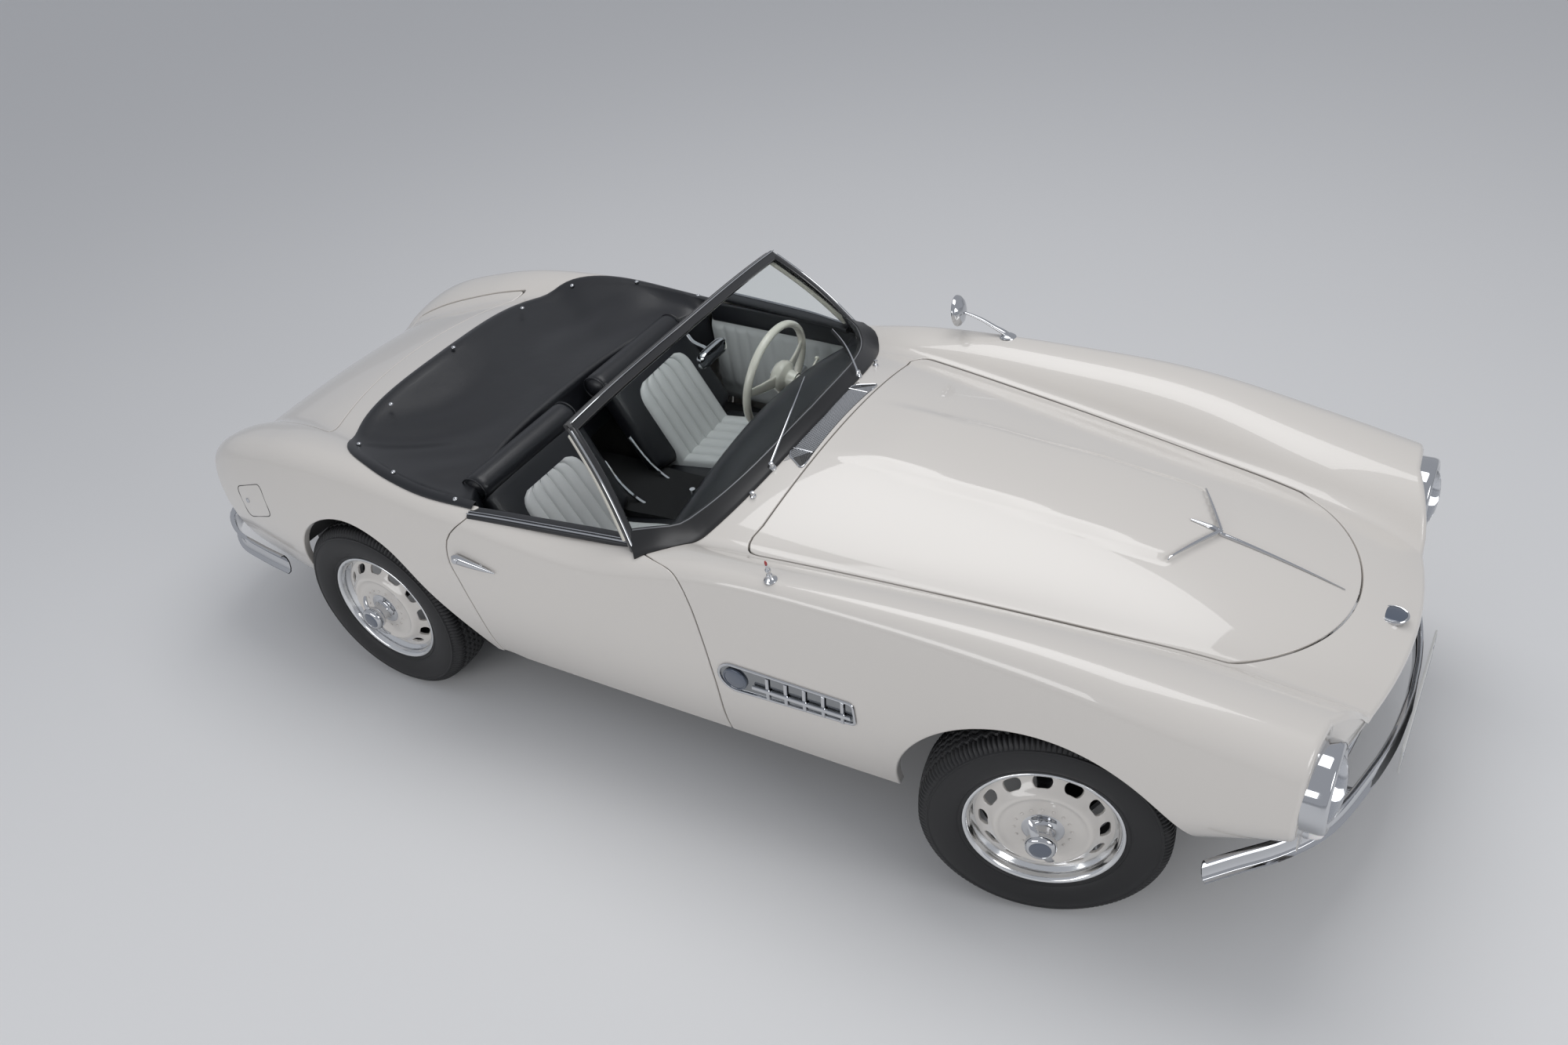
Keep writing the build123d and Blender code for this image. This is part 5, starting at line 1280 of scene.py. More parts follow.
class RoadsterScreen(bpy.types.Operator):
    """Build the windscreen, its frame, seals and wipers"""

    bl_idname = "roadster.screen"
    bl_label = "Windscreen"

    def execute(self, context):
        foot, head = screen_lines()
        rows = np.array([[bowed(f, h, t) for t in np.linspace(0, 1, 13)] for f, h in zip(foot, head)])
        front = grid(rows)
        back = grid(rows - .004 * front.normals.reshape(rows.shape))
        back.faces = [face[::-1] for face in back.faces]
        solid("screen_glass", joined(front, back), "glass", "body", ["windscreen_glass"])
        pillars, inners = [], []
        for end in (0, -1):
            side = -1 if end == 0 else 1
            a, b = foot[end], head[end]
            line = [bowed(a, b, t) for t in np.linspace(-.045, 1.012, 16)]
            outward = np.array((-.35, side * .94, .1))
            pillars.append(swept(line, ring_profile(.026, .030, 16, 3), up=outward))
            shift = np.array((-.024, -side * .006, -.004))
            inner = [p + shift for p in line[1:-1]]
            inners.append(swept(inner, ring_profile(.032, .022, 14, 3), up=outward))
        header = swept(head + np.array((0, 0, .004)), ring_profile(.024, .040, 18, 2.6), up=(-.5, 0, .85))
        pillars.append(header)
        # black frame colour: painted dark reflection on a chrome frame
        solid("screen_frame", joined(*pillars), "frame_enamel", "body", ["windscreen_frame"])
        strip = swept(head + np.array((.006, 0, .0255)), ring_profile(.006, .004, 10), up=(-.5, 0, .85))
        edges = [strip]
        for end, side in ((0, -1), (-1, 1)):
            a, b = foot[end], head[end]
            outer = np.array((.010, side * .015, .006))
            line = [bowed(a, b, t) + outer for t in np.linspace(-.02, 1, 14)]
            edges.append(swept(line, ring_profile(.0025, .006, 8), up=(-.35, side * .94, .1)))
        solid("screen_bright_strips", joined(*edges), "chrome", "body")
        solid("pillar_liners", joined(*inners), "ivory", "body")
        lining = swept(head + np.array((-.020, 0, -.004)), ring_profile(.018, .034, 14, 3),
                       up=(-.5, 0, .85))
        solid("header_lining", lining, "rubber", "body")
        self.seal(foot, head)
        self.wipers(foot, head)
        return {"FINISHED"}

    @staticmethod
    def seal(foot, head):
        """A wide soft ramp from the skin up to the glass, thicker round the corners."""
        rows, lips = [], []
        toward = np.gradient(foot, axis=0)
        for k, (f, h) in enumerate(zip(foot, head)):
            t = toward[k] / np.linalg.norm(toward[k])
            ahead = np.cross(t, (0, 0, 1.0))
            ahead /= np.linalg.norm(ahead)
            side = abs(f[1]) / .703
            wide = .026 + .022 * side**3
            up = (h - f) / np.linalg.norm(h - f)
            rise = .020 + .022 * side**4
            points = []
            for s in (1.0, .98, .9, .75, .55, .35, .18, .06, 0):
                p = f + ahead * wide * s
                z = surface_z(float(np.clip(p[0], -.2, .4)), float(np.clip(p[1], -.72, .72)))
                edge = min(1, (1 - s) * 8)
                base = np.array((p[0], p[1], z + .004 + .004 * edge))
                climb = (1 - s)**1.7
                points.append(base + climb * (f + up * rise - np.array((f[0], f[1], z)) + ahead * .008))
            first = points[0] - np.array((0, 0, .010))
            back = f + up * rise - ahead * .016
            low = f - ahead * .022 - np.array((0, 0, .020))
            rows.append([first, *points, back, low])
            lips.append(f + up * (rise + .001) + ahead * .0045)
        seal = grid(np.array(rows))
        solid("screen_seal", seal, "rubber", "body")
        # the grey strip on the seal's lip is a painted reflection in the glass's lower edge
        solid("screen_seal_strip", swept(lips, ring_profile(.005, .016, 8), up=(-.5, 0, .85)),
              "grey_rubber", "body")

    @staticmethod
    def wipers(foot, head):
        parts, blades = [], []

        def on_glass(y, t, lift):
            i = int(np.argmin(np.abs(foot[:, 1] - y)))
            facing = np.cross(head[i] - foot[i], foot[i + 1] - foot[i - 1])
            facing *= np.sign(facing[0]) / np.linalg.norm(facing)
            return foot[i] + t * (head[i] - foot[i]) + lift * facing, facing

        for pivot_y, tip_y, height in ((-.285, .105, .20), (.285, .471, .29)):
            z, n = surface_z(WIPER_X, pivot_y), top_normal(WIPER_X, pivot_y)
            boss = [(.015, -.002), (.014, .006), (.010, .014), (.008, .024), (0, .026)]
            parts.append(lathe(soft(boss, .002), (WIPER_X, pivot_y, z), n, 24))
            base = np.array((WIPER_X, pivot_y, z + .024))
            tip, facing = on_glass(tip_y, height, .018)
            steps = np.linspace(0, 1, 14)
            line = np.array([base + t * (tip - base) + .012 * math.sin(math.pi * t) * facing
                             for t in steps])
            parts.append(swept(line[:11], ring_profile(.007, .005, 10), up=facing,
                               taper=np.linspace(1.2, .6, 11)))
            parts.append(swept(line[4:], ring_profile(.0035, .003, 8), up=facing))
            blades.append(swept(line[4:] - .006 * facing, ring_profile(.004, .011, 8), up=facing))
        for y in (-.405, .410):
            z = surface_z(WIPER_X, y)
            n = top_normal(WIPER_X, y)
            jet = [(.010, -.001), (.010, .005), (.006, .009), (.006, .016), (.0075, .020), (0, .022)]
            parts.append(lathe(soft(jet, .001), (WIPER_X, y, z), n, 20))
        solid("wiper_arms", joined(*parts), "chrome", "body", ["wipers"])
        solid("wiper_blades", joined(*blades), "rubber", "body")


# ---------------------------------------------------------------- cockpit
SEAT = dict(y=.340, half=.250, insert=.155)
BACK_LINE = [(-.560, .475), (-.610, .560), (-.668, .660), (-.728, .765), (-.770, .835)]
CUSHION_LINE = [(-.640, .470), (-.500, .490), (-.340, .512), (-.240, .518), (-.190, .490), (-.175, .430)]
# The steering wheel's spokes and boss: radius, and depth or place along the axis.
SPOKE = [(.020, .030), (.060, .030), (.110, .022), (.150, .012), (.190, .000)]
WHEEL_BOSS = [(.030, -.090), (.034, -.060), (.056, -.046), (.060, -.034), (.056, -.018), (.046, -.006),
              (.030, .002), (0, .004)]
BOSS_RING = [(.0305, .0015), (.0295, .0045), (.027, .0045), (.026, .003)]
TRIM_X, TRIM_Z, TRIM_PITCH = (.135, -.700), (.430, .792), .052


def pleats(half, count, depth, base, steps=8):
    """Profile across a pleated panel: rounded channels on top, flat below."""
    u = np.linspace(-half, half, count * steps + 1)
    phase = (u + half) / (2 * half) * count
    w = base + depth * np.abs(np.sin(math.pi * phase))**.55
    top = np.stack([u, w], 1)
    return np.concatenate([[(-half - .004, base - .022)], top, [(half + .004, base - .022)]])


def cushion_form(line, width, thick, count=30, power=4.5, ends=(.5, .8, .93)):
    """A padded form along a line, its ends pulled in."""
    path = along([(x, 0, z) for x, z in line], count)
    taper = np.ones(count)
    taper[:len(ends)] = ends
    taper[-len(ends):] = ends[::-1]
    up = (1, 0, .2) if abs(line[-1][1] - line[0][1]) > .2 else (0, 0, 1)
    return swept(path, ring_profile(width, thick, 56, power), up=up, taper=taper)


class RoadsterSeats(bpy.types.Operator):
    """Build the two leather seats with pleated inserts and rolled tops"""

    bl_idname = "roadster.seats"
    bl_label = "Seats"

    def execute(self, context):
        dark, pale = [], []
        rolls, pipes = [], []
        for side in (1, -1):
            shift = np.array((0, side * SEAT["y"], 0))
            back = [(x - .050, z) for x, z in BACK_LINE]
            form = cushion_form(back, 2 * SEAT["half"], .110)
            base = cushion_form([(x, z - .062) for x, z in CUSHION_LINE[:4]] + [(-.195, .440)],
                                2 * SEAT["half"], .125)
            dark += [shifted(form, shift), shifted(base, shift)]
            path = along([(x + .001, 0, z) for x, z in BACK_LINE[:-1]], 26)
            strip = swept(path, pleats(SEAT["insert"], 6, .011, .013), up=(1, 0, .35),
                          taper=np.concatenate([np.ones(20), [1, .99, .97, .93, .86, .7]]))
            pale.append(shifted(strip, shift))
            path = along([(x, 0, z) for x, z in CUSHION_LINE[:5]], 30)[::-1]
            strip = swept(path, pleats(SEAT["insert"], 6, .012, .014))
            pale.append(shifted(strip, shift))
            ys = np.linspace(-1, 1, 34)
            roll_path = [(-.805, side * SEAT["y"] + y * .262, .848) for y in ys]
            ends = np.clip((1 - np.abs(ys)) * 14, 0, 1)**.5
            rolls.append(swept(roll_path, ring_profile(.105, .092, 32), taper=np.maximum(.25, ends)))
            for end in (-1, 1):
                turns = np.linspace(0, 2 * math.pi, 33)
                ring = [(-.805 + .049 * math.cos(t), side * SEAT["y"] + end * .252,
                         .848 + .043 * math.sin(t)) for t in turns]
                pipes.append(swept(ring, ring_profile(.006, .006, 8), up=(0, 1, 0), caps=False))
        form = solid("seat_forms", joined(*dark), "leather", "body",
                     ["seat_backs", "seat_cushions"], 50)
        inserts = solid("seat_inserts", joined(*pale), "pale_leather", "body", (), 60)
        tops = solid("seat_rolls", joined(*rolls), "leather", "body", (), 60)
        solid("seat_piping", joined(*pipes), "leather", "body")
        rails = []
        for side in (1, -1):
            inner = SEAT["y"] - SEAT["half"] - .012
            line = [(-.700, side * inner, .640), (-.640, side * inner, .560), (-.560, side * inner, .500),
                    (-.300, side * inner, .485)]
            rails.append(tube(along(line, 18), .006, 10))
        solid("seat_hinge_bars", joined(*rails), "chrome", "body")
        return {"FINISHED"}


class RoadsterCockpit(bpy.types.Operator):
    """Build the dashboard, steering wheel, door trims and mirror"""

    bl_idname = "roadster.cockpit"
    bl_label = "Cockpit"

    def execute(self, context):
        self.dashboard()
        self.steering_wheel()
        self.doors()
        self.mirror()
        return {"FINISHED"}

    @staticmethod
    def dashboard():
        """A padded top from the screen's foot, rolled over a face with round dials."""
        ys = np.linspace(-.672, .672, 61)
        foot = along(SCREEN_FOOT, 60)
        rows = []
        for y in ys:
            x_front = float(np.interp(abs(y), foot[:, 1], foot[:, 0])) - .012
            x_rear = -.020 - .03 * (abs(y) / .672)**4
            x_rear = min(x_rear, x_front - .03)
            top = surface_z(max(x_front, .0), y)
            line = [(x_front + .008, top + .004), (x_front - .25 * (x_front - x_rear), top + .005),
                    (x_rear + .03, top - .006), (x_rear + .008, top - .022), (x_rear, top - .036),
                    (x_rear + .006, top - .052), (x_rear + .022, top - .060), (x_rear + .030, .800),
                    (x_rear + .034, .745)]
            smooth = along(line, 26)
            rows.append([(x, y, z) for x, z in smooth])
        rows = np.array(rows)
        solid("dashboard_pad", grid(rows), "leather", "body", ["dashboard"], 60)
        rims, faces = [], []
        for y in (.27, .37, .47):
            radius = .046 if y == .37 else .036
            centre = (-.001, y, .842)
            axis = (-1, 0, .06)
            ring = soft([(radius, .0), (radius, .010), (radius - .005, .012)], .001)
            rims.append(lathe(ring, centre, axis, 40))
            faces.append(lathe([(radius - .004, .006), (radius * .5, .007), (0, .007)], centre, axis, 40))
        solid("dial_rims", joined(*rims), "chrome", "body")
        solid("dial_faces", joined(*faces), "black_paint", "body")

    @staticmethod
    def steering_wheel():
        joint = JOINTS["steering_wheel_turn"]
        centre = np.array(joint["pos_m"], float)
        axis = np.array(joint["axis"], float)
        across = np.array((0, 1.0, 0))
        up = np.cross(across, axis) * -1
        if up[2] < 0:
            up = -up
        count, radius = 144, SPOKE[-1][0]
        ring = ring_profile(.028, .030, 16)
        rows = []
        for k in range(count):
            t = 2 * math.pi * k / count
            ray = math.cos(t) * across + math.sin(t) * up
            notch = .0016 * (abs(math.sin(t * 18))**4) * (1 if math.sin(t) > -.6 else 0)
            rows.append([centre + (radius + u * (1 - (notch * 60 if u < 0 else 0))) * ray + w * axis
                         for u, w in ring])
        rim = grid(np.array(rows), closed_u=True, closed_v=True)
        spokes = []
        for turn in (math.radians(8), math.radians(172), math.radians(270)):
            ray = math.cos(turn) * across + math.sin(turn) * up
            path = [centre + ray * r - axis * d for r, d in SPOKE]
            spokes.append(swept(along(path, 16), ring_profile(.040, .011, 16, 3), up=axis,
                                taper=np.linspace(1.35, .75, 16)))
        boss = lathe(soft(WHEEL_BOSS, .004), centre, axis, 64)
        solid("steering_wheel_rim", joined(rim, *spokes, boss), "ivory", "steering_wheel",
              ["steering_wheel"], 50, False)
        ring = lathe(soft(BOSS_RING, .0008), centre, axis, 48)
        solid("steering_boss_ring", ring, "chrome", "steering_wheel", (), 40, False)
        column = tube([centre - axis * d for d in (.092, .20, .40, .62)], .026, 24)
        solid("steering_column_tube", column, "ivory", "body", ["steering_column"], 40,
              False)
        root = centre - axis * .12
        stalk = [root + across * .02, root + across * .09 + axis * .02, root + across * .15 + axis * .035]
        knob = lathe([(0, -.008), (.006, -.006), (.009, 0), (.006, .007), (0, .009)],
                     root + across * .155 + axis * .037, across, 16)
        solid("indicator_stalk", joined(tube(along(stalk, 10), .0038, 10), knob), "ivory", "body",
              (), 40, False)

    @staticmethod
    def doors():
        for side, name in ((1, "left"), (-1, "right")):
            body = f"door_{name}"
            line = along(RAIL, 30)
            path = line * (1, side, 1)
            rail = swept(path, ring_profile(.054, .026, 20, 3))
            solid(f"door_rail_{name}", rail, "leather", body, (), 60)
            strip = swept(path + np.array((0, side * .020, .012)), ring_profile(.006, .006, 8))
            slot = swept(path + np.array((0, side * .010, .0135)), ring_profile(.004, .006, 8))
            solid(f"door_rail_strips_{name}", joined(strip, slot), "chrome", body)
            low, high = TRIM_Z
            xs = np.linspace(*TRIM_X, 121)
            zs = np.linspace(low, high, 24)
            phase = (xs - xs[0]) / TRIM_PITCH
            rows = []
            for z in zs:
                inset = .010 * np.clip(1 - (z - low) / .02, 0, 1)
                inset += .010 * np.clip(1 - (high - z) / .02, 0, 1)
                relief = .008 * np.abs(np.sin(math.pi * phase))**.5 if .50 < z < .775 else 0 * xs
                y = .692 - .004 - relief + inset
                rows.append(np.stack([xs, side * y, np.full_like(xs, z)], 1))
            cover = grid(np.array(rows))
            heights = np.minimum(cover.points[:, 2], .75)
            beside = np.column_stack([cover.points[:, 0], np.full(len(heights), .78 * side), heights])
            cover = cover.clip(np.maximum(door_field(beside) + .02, -1))
            solid(f"door_pleats_{name}", cover, "pale_leather", body,
                  [f"door_trim_{name}"], 60)
            top_path = along([(.060, .676, .830), (-.20, .680, .832), (-.45, .686, .832),
                              (-.690, .694, .830)], 24) * (1, side, 1)
            top = swept(top_path, ring_profile(.018, .088, 24, 4))
            solid(f"door_top_trim_{name}", top, "leather", body, (), 60)
            lever = tube(along([(-.10, side * .680, .70), (-.12, side * .660, .70),
                                (-.20, side * .655, .715)], 10), .006, 10)
            pull = tube(along([(-.42, side * .684, .62), (-.42, side * .655, .635),
                               (-.30, side * .650, .650), (-.30, side * .684, .655)], 22), .008, 10)
            solid(f"door_levers_{name}", joined(lever, pull), "chrome", body)

    @staticmethod
    def mirror():
        """A shallow chrome mirror hung from the header by its stem."""
        centre = np.array((-.178, 0, 1.150))
        axis = np.array((1, 0, .12)) / np.linalg.norm((1, 0, .12))
        rows = []
        for scale, depth in ((.0, .016), (.55, .016), (.9, .014), (1, .008), (1, -.004), (.96, -.010),
                             (.0, -.010)):
            rows.append([centre + axis * depth + np.array((0, y, z)) * scale
                         for y, z in ring_profile(.150, .058, 40, 4)])
        shell = grid(np.array(rows), closed_u=True)
        glass = grid(np.array([[centre - axis * .0105 + np.array((0, y, z)) * s
                                for y, z in ring_profile(.140, .050, 40, 4)] for s in (1, .5, 0)]),
                     closed_u=True)
        stem = tube(along([(-.262, 0, 1.205), (-.250, 0, 1.185), (-.205, 0, 1.168), (-.178, 0, 1.155)],
                          10), .006, 10)
        solid("cabin_mirror_shell", joined(shell, stem), "chrome", "body", ["cabin_mirror"])
        # the mirror glass is darkened chrome: a painted dark reflection
        solid("cabin_mirror_glass", glass, "dark_chrome", "body")


COVER_FRONT = -.895
STUD = [(.0085, 0), (.0085, .003), (.006, .0065), (.003, .0078), (0, .008)]


class RoadsterCover(bpy.types.Operator):
    """Lay the leather cover over the rear of the cockpit, with its studs"""

    bl_idname = "roadster.cover"
    bl_label = "Tonneau cover"

    def execute(self, context):
        outline = smooth_outline(COCKPIT)
        rear = np.array([p for p in outline if p[0] < -.66])
        rear = rear[np.argsort(np.arctan2(rear[:, 1], -(rear[:, 0] + .66)))]
        edge = along(np.column_stack([rear, np.zeros(len(rear))]), 91)[:, :2]
        rows = []
        spread = np.linspace(0, 1, 91)
        for k, (x, y) in enumerate(edge):
            out = np.array((x + .78, y))
            out /= np.linalg.norm(out)
            line = []
            for d, lift in ((.020, .0035), (.018, .0065), (.010, .0075), (.0, .0070), (-.012, .0045)):
                px, py = x + d * out[0], y + d * out[1]
                line.append((px, py, surface_z(px, py) + lift))
            s = 2 * spread[k] - 1
            start = np.array(line[-1])
            end = np.array((COVER_FRONT + .165 * abs(s)**3, s * .70, .868 - .004 * abs(s * .70)))
            for t in np.linspace(.04, 1, 26):
                p = start + t * (end - start)
                dip = -.030 * math.sin(math.pi * t**.8) * (1 - .5 * abs(s))
                wave = 26 * p[0] + 9 * abs(p[1]) + 3 * math.sin(7 * p[1])
                fold = .0035 * math.sin(wave) * math.sin(math.pi * t)
                line.append((p[0], p[1], p[2] + dip + fold))
            for fall, back in ((.008, -.010), (.030, -.016), (.120, -.020), (.250, -.040)):
                line.append((end[0] - back * .6, end[1], end[2] - fall))
            rows.append(line)
        cover = solid("tonneau_leather", grid(np.array(rows)), "leather", "body",
                      ["tonneau_cover"], 60)
        studs = []
        for x, y in ((-.750, .722), (-1.030, .705), (-1.288, .610), (-1.356, .375), (-1.380, 0)):
            for side in ((1, -1) if y else (1,)):
                z = surface_z(x, y) + .006
                n = top_normal(x, y) * (1, side, 1)
                studs.append(lathe(soft(STUD, .001), (x, side * y, z), n, 18))
        solid("cover_studs", joined(*studs), "chrome", "body")
        return {"FINISHED"}


# ---------------------------------------------------------------- small fittings
class RoadsterFittings(bpy.types.Operator):
    """Build the scuttle intake, mirror, aerial, flap and plates"""

    bl_idname = "roadster.fittings"
    bl_label = "Small fittings"

    def execute(self, context):
        self.intake()
        self.wing_mirror()
        self.aerial()
        self.flap()
        self.plates()
        return {"FINISHED"}

    @staticmethod
    def intake():
        """A mesh intake in a thin frame, with a flat black patch between two cross bars that is painted
        shade of a recess.
        """
        x0, x1, rear_half, front_half = .213, .285, .215, .262
        corners = [(x0, -rear_half), (x0, rear_half), (x1, front_half), (x1, -front_half)]
        line = np.array(rounded(corners, .022))
        path = np.array([(x, y, surface_z(x, y) + .002) for x, y in line])
        path = np.concatenate([path, path[:2]])
        frames = [swept(path, ring_profile(.005, .006, 8), caps=False)]
        for y in (-.185, .185):
            bar = [(x, y, surface_z(x, y) + .003) for x in np.linspace(x0 + .002, x1 - .002, 6)]
            frames.append(swept(bar, ring_profile(.005, .005, 8)))
        solid("intake_frame", joined(*frames), "chrome", "body", ["scuttle_grille"])
        wires = []
        pitch = .0085
        for slope in (1, -1):
            for c in np.arange(-.36, .36, pitch):
                ends = []
                for x in (x0 + .001, x1 - .001):
                    ends.append((x, c + slope * (x - (x0 + x1) / 2) * 1.1))
                if max(abs(e[1]) for e in ends) < front_half - .012:
                    pts = [(ex, ey, surface_z(ex, ey) + .0012)
                           for ex, ey in np.linspace(ends[0], ends[1], 4)]
                    wires.append(swept(pts, ring_profile(.0022, .0022, 4), caps=False))
        solid("intake_mesh", joined(*wires), "alloy", "body")
        xs, ys = np.meshgrid(np.linspace(x0, x1, 8), np.linspace(-front_half, front_half, 40))
        zs = np.array([[surface_z(x, y) for x, y in zip(rx, ry)] for rx, ry in zip(xs, ys)])
        tray = grid(np.stack([xs, ys, zs + .0004], 2))
        tray = tray.clip(outline_distance(tray.points[:, :2], line))
        solid("intake_tray", tray, "tray", "body")
        # a flat black patch on the tray, painted shade in place of a recess
        slot = rounded([(.236, -.150), (.236, .150), (.266, .150), (.266, -.150)], .012)
        dark = grid(np.stack([xs, ys, zs + .0008], 2))
        dark = dark.clip(outline_distance(dark.points[:, :2], slot))
        solid("intake_recess", dark, "black_paint", "body")

    @staticmethod
    def wing_mirror():
        z = surface_z(.536, .728)
        foot = [(.555, .728, z - .002), (.540, .728, z + .010), (.500, .727, z + .030),
                (.450, .725, z + .055), (.405, .722, z + .070), (.384, .721, z + .075)]
        taper = np.concatenate([np.linspace(1.5, 1.0, 8), np.linspace(.98, .62, 14)])
        arm = swept(along(foot, 22), ring_profile(.020, .013, 14), taper=taper)
        plinth = soft([(.030, -.002), (.028, .004), (.018, .010), (0, .014)], .003)
        base = lathe(plinth, (.548, .728, z), top_normal(.548, .728), 28)
        centre, axis = (.372, .721, z + .078), (1, .10, .12)
        shell = [(0, .022), (.020, .020), (.040, .013), (.052, .002), (.055, -.008), (.053, -.012),
                 (.049, -.011)]
        head = lathe(soft(shell, .002), centre, axis, 48)
        glass = lathe([(.0495, -.0105), (.03, -.0095), (0, -.009)], centre, axis, 48)
        solid("wing_mirror_shell", joined(arm, base, head), "chrome", "body", ["wing_mirror"], 40)
        # the mirror glass is darkened chrome: a painted dark reflection
        solid("wing_mirror_glass", glass, "dark_chrome", "body")

    @staticmethod
    def aerial():
        x, y = .446, -.728
        z = surface_z(x, y)
        lean = (0, -.15, 1)
        stem = [(.020, -.002), (.020, .003), (.015, .008), (.010, .014), (.0085, .022), (.006, .024),
                (.006, .034), (.0085, .036), (.0085, .042), (.005, .044), (.004, .060), (0, .061)]
        base = lathe(soft(stem, .001), (x, y, z), lean, 28)
        tip = lathe([(0, .060), (.0035, .061), (.0045, .067), (.003, .074), (0, .076)], (x, y, z), lean, 16)
        solid("aerial_base", base, "chrome", "body", ["aerial"])
        solid("aerial_tip", tip, "red_lens", "body")

    @staticmethod
    def flap():
        """The fuel flap's shut line and lock on the right rear wing."""
        line = []
        corners = rounded([(-1.905, .700), (-1.725, .765), (-1.700, .640), (-1.880, .575)], .03)
        for x, z in corners:
            line.append(np.array((x, surface_y(x, z) + .0005, z)) * (1, -1, 1))
        line.append(line[0])
        line.append(line[1])
        solid("fuel_flap_line", swept(line, ring_profile(.0032, .0012, 6), up=(0, 1, 0), caps=False),
              "black_paint", "body")
        x, z = -1.845, .660
        n = side_normal(x, z) * (1, -1, 1)
        barrel = soft([(.010, -.001), (.010, .003), (.007, .005), (0, .005)], .001)
        lock = lathe(barrel, side_point(x, z, -1), n, 20)
        solid("fuel_flap_lock", lock, "chrome", "body")

    @staticmethod
    def plates():
        """Blank plates in their thin rims."""
        across, up = np.array((0, 1.0, 0)), np.array((0, 0, 1.0))
        rims = []
        for name, centre, facing, finish, replaced in (
                ("front_plate_sheet", (2.0555, 0, .427), 1.0, "pale_plate", ["number_plates"]),
                ("rear_plate_sheet", (-2.1685, 0, .545), -1.0, "plate", [])):
            centre, n = np.array(centre), np.array((facing, 0, 0))
            ring = ring_profile(.516, .106, 60, 14)
            layers = [(0, .004), (.985, .004), (.99, .0050), (1, .0045), (1, .0), (.99, -.0005),
                      (0, -.0005)]
            rows = [[centre + n * d + (across * a + up * b) * size for a, b in ring] for size, d in layers]
            sheet = grid(np.array(rows), closed_u=True)
            solid(name, sheet, finish, "body", replaced)
            loop = [centre + n * .004 + across * a + up * b for a, b in ring_profile(.508, .098, 60, 14)]
            rims.append(swept(loop + loop[:2], ring_profile(.004, .0022, 6), up=n, caps=False))
            for a in (-.230, .230):
                screw = [(.0062, .004), (.0062, .0055), (.004, .0062), (0, .0062)]
                rims.append(lathe(soft(screw, .0005), centre + across * a, n, 16))
        solid("plate_rims", joined(*rims), "chrome", "body")


# ---------------------------------------------------------------- chassis
UNDERSIDE = {
    "chassis_frame": "dark_metal", "front_axle": "dark_metal", "rear_axle": "dark_metal",
    "knuckle_left": "dark_metal", "knuckle_right": "dark_metal", "engine_block": "cast",
    "exhaust_pipes": "pipe_steel", "floor_tub": "carpet", "driver_controls": "alloy",
    "wheel_houses": "black_paint",
}


class RoadsterUnderside(bpy.types.Operator):
    """Finish the chassis, axles, engine, exhaust, floor and wheel houses"""

    bl_idname = "roadster.underside"
    bl_label = "Chassis and floor"

    def execute(self, context):
        for name, finish in UNDERSIDE.items():
            node = frame["nodes"][name]
            if not node.material_slots:
                node.data.materials.append(None)
            for place in node.material_slots:
                place.material = Stock.get(finish)
        return {"FINISHED"}


# ---------------------------------------------------------------- stage
CAMERA_AT = (2.19096, -3.06525, 3.24609)
CAMERA_AXES = (                         # right, down and forward
    (.857591155, .498194726, -.127825762),
    (.208916865, -.564517852, -.798544512),
    (-.469990589, .658119753, -.588206797),
)


def area_light(name, place, target, size, power, size_y=None):
    """A soft lamp that faces its target."""
    data = bpy.data.lights.new(name, "AREA")
    data.energy = power
    data.size = size
    if size_y:
        data.shape = "RECTANGLE"
        data.size_y = size_y
    lamp = bpy.data.objects.new(name, data)
    bpy.context.scene.collection.objects.link(lamp)
    lamp.location = place
    lamp.rotation_mode = "QUATERNION"
    lamp.rotation_quaternion = (Vector(target) - Vector(place)).to_track_quat("-Z", "Y")


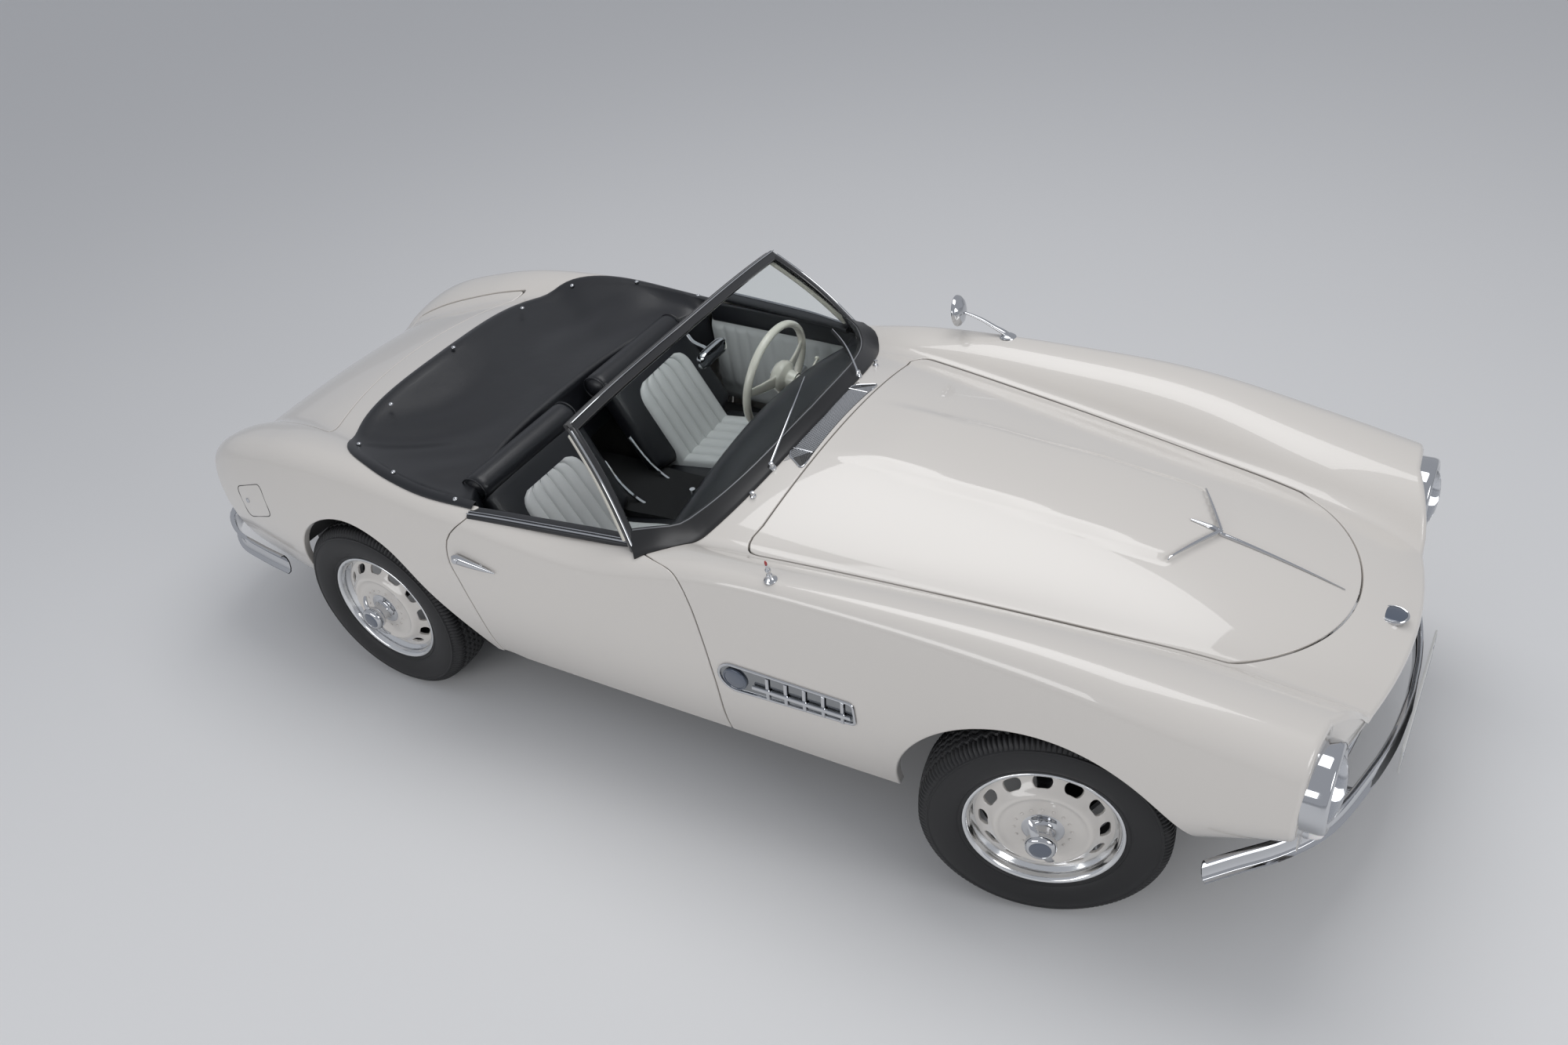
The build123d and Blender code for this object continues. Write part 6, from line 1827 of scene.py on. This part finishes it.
class RoadsterStudio(bpy.types.Operator):
    """Lay the floor, hang the lights and set the camera"""

    bl_idname = "roadster.studio"
    bl_label = "Floor, lights and camera"

    def execute(self, context):
        scene = context.scene
        scene.view_settings.view_transform = "Standard"
        mesh = bpy.data.meshes.new("studio_floor")
        reach = 60
        mesh.from_pydata([(-reach, -reach, 0), (reach, -reach, 0), (reach, reach, 0), (-reach, reach, 0)],
                         [], [(0, 1, 2, 3)])
        floor = bpy.data.objects.new("studio_floor", mesh)
        scene.collection.objects.link(floor)
        material = shader("studio_floor", scene.roadster_stage.floor_color, .75)
        noise_bump(material, 60, .1, .001)
        mesh.materials.append(material)
        world = bpy.data.worlds.new("studio")
        scene.world = world
        world.use_nodes = True
        world.node_tree.nodes["Background"].inputs["Color"].default_value = (.9, .93, 1, 1)
        world.node_tree.nodes["Background"].inputs["Strength"].default_value = .45
        area_light("overhead_softbox", (.3, 1.0, 5.5), (0, 0, .6), 4.5, 100, 2.6)
        area_light("front_softbox", (6.5, -1.5, 3.2), (1.2, 0, .6), 3.0, 66, 2.0)
        area_light("side_softbox", (-1.0, -6.5, 3.0), (0, 0, .5), 5.0, 80, 1.6)
        data = bpy.data.cameras.new("camera")
        data.sensor_width = 36
        data.lens = scene.roadster_stage.focal
        camera = bpy.data.objects.new("camera", data)
        scene.collection.objects.link(camera)
        right, down, forward = (Vector(row) for row in CAMERA_AXES)
        turn = Matrix((right, -down, -forward)).transposed()
        camera.matrix_world = Matrix.Translation(Vector(CAMERA_AT) + Vector((MID, 0, 0))) @ turn.to_4x4()
        scene.camera = camera
        return {"FINISHED"}


class RoadsterPanel(bpy.types.Panel):
    """Lists the roadster's settings and pieces"""

    bl_idname = "VIEW3D_PT_roadster"
    bl_label = "Roadster"
    bl_space_type = "VIEW_3D"
    bl_region_type = "UI"
    bl_category = "Roadster"

    def draw(self, context):
        scene = context.scene
        for name in ("paint_color", "paint_roughness", "gap"):
            self.layout.prop(scene.roadster_paint, name)
        for name in ("floor_color", "focal"):
            self.layout.prop(scene.roadster_stage, name)
        for operator in OPERATORS:
            self.layout.operator(operator.bl_idname)


SETTINGS = (RoadsterPaint, RoadsterStage)
OPERATORS = (RoadsterPanels, RoadsterEnds, RoadsterWheels, RoadsterLamps, RoadsterBrightwork,
             RoadsterScreen, RoadsterSeats, RoadsterCockpit, RoadsterCover, RoadsterFittings,
             RoadsterUnderside, RoadsterStudio)


def register():
    for item in (*SETTINGS, *OPERATORS, RoadsterPanel):
        bpy.utils.register_class(item)
    bpy.types.Scene.roadster_paint = PointerProperty(type=RoadsterPaint)
    bpy.types.Scene.roadster_stage = PointerProperty(type=RoadsterStage)


def unregister():
    del bpy.types.Scene.roadster_paint
    del bpy.types.Scene.roadster_stage
    for item in reversed((*SETTINGS, *OPERATORS, RoadsterPanel)):
        bpy.utils.unregister_class(item)


def main():
    register()
    for operator in OPERATORS:
        group, name = operator.bl_idname.split(".")
        getattr(getattr(bpy.ops, group), name)()


if __name__ == "__main__":
    main()
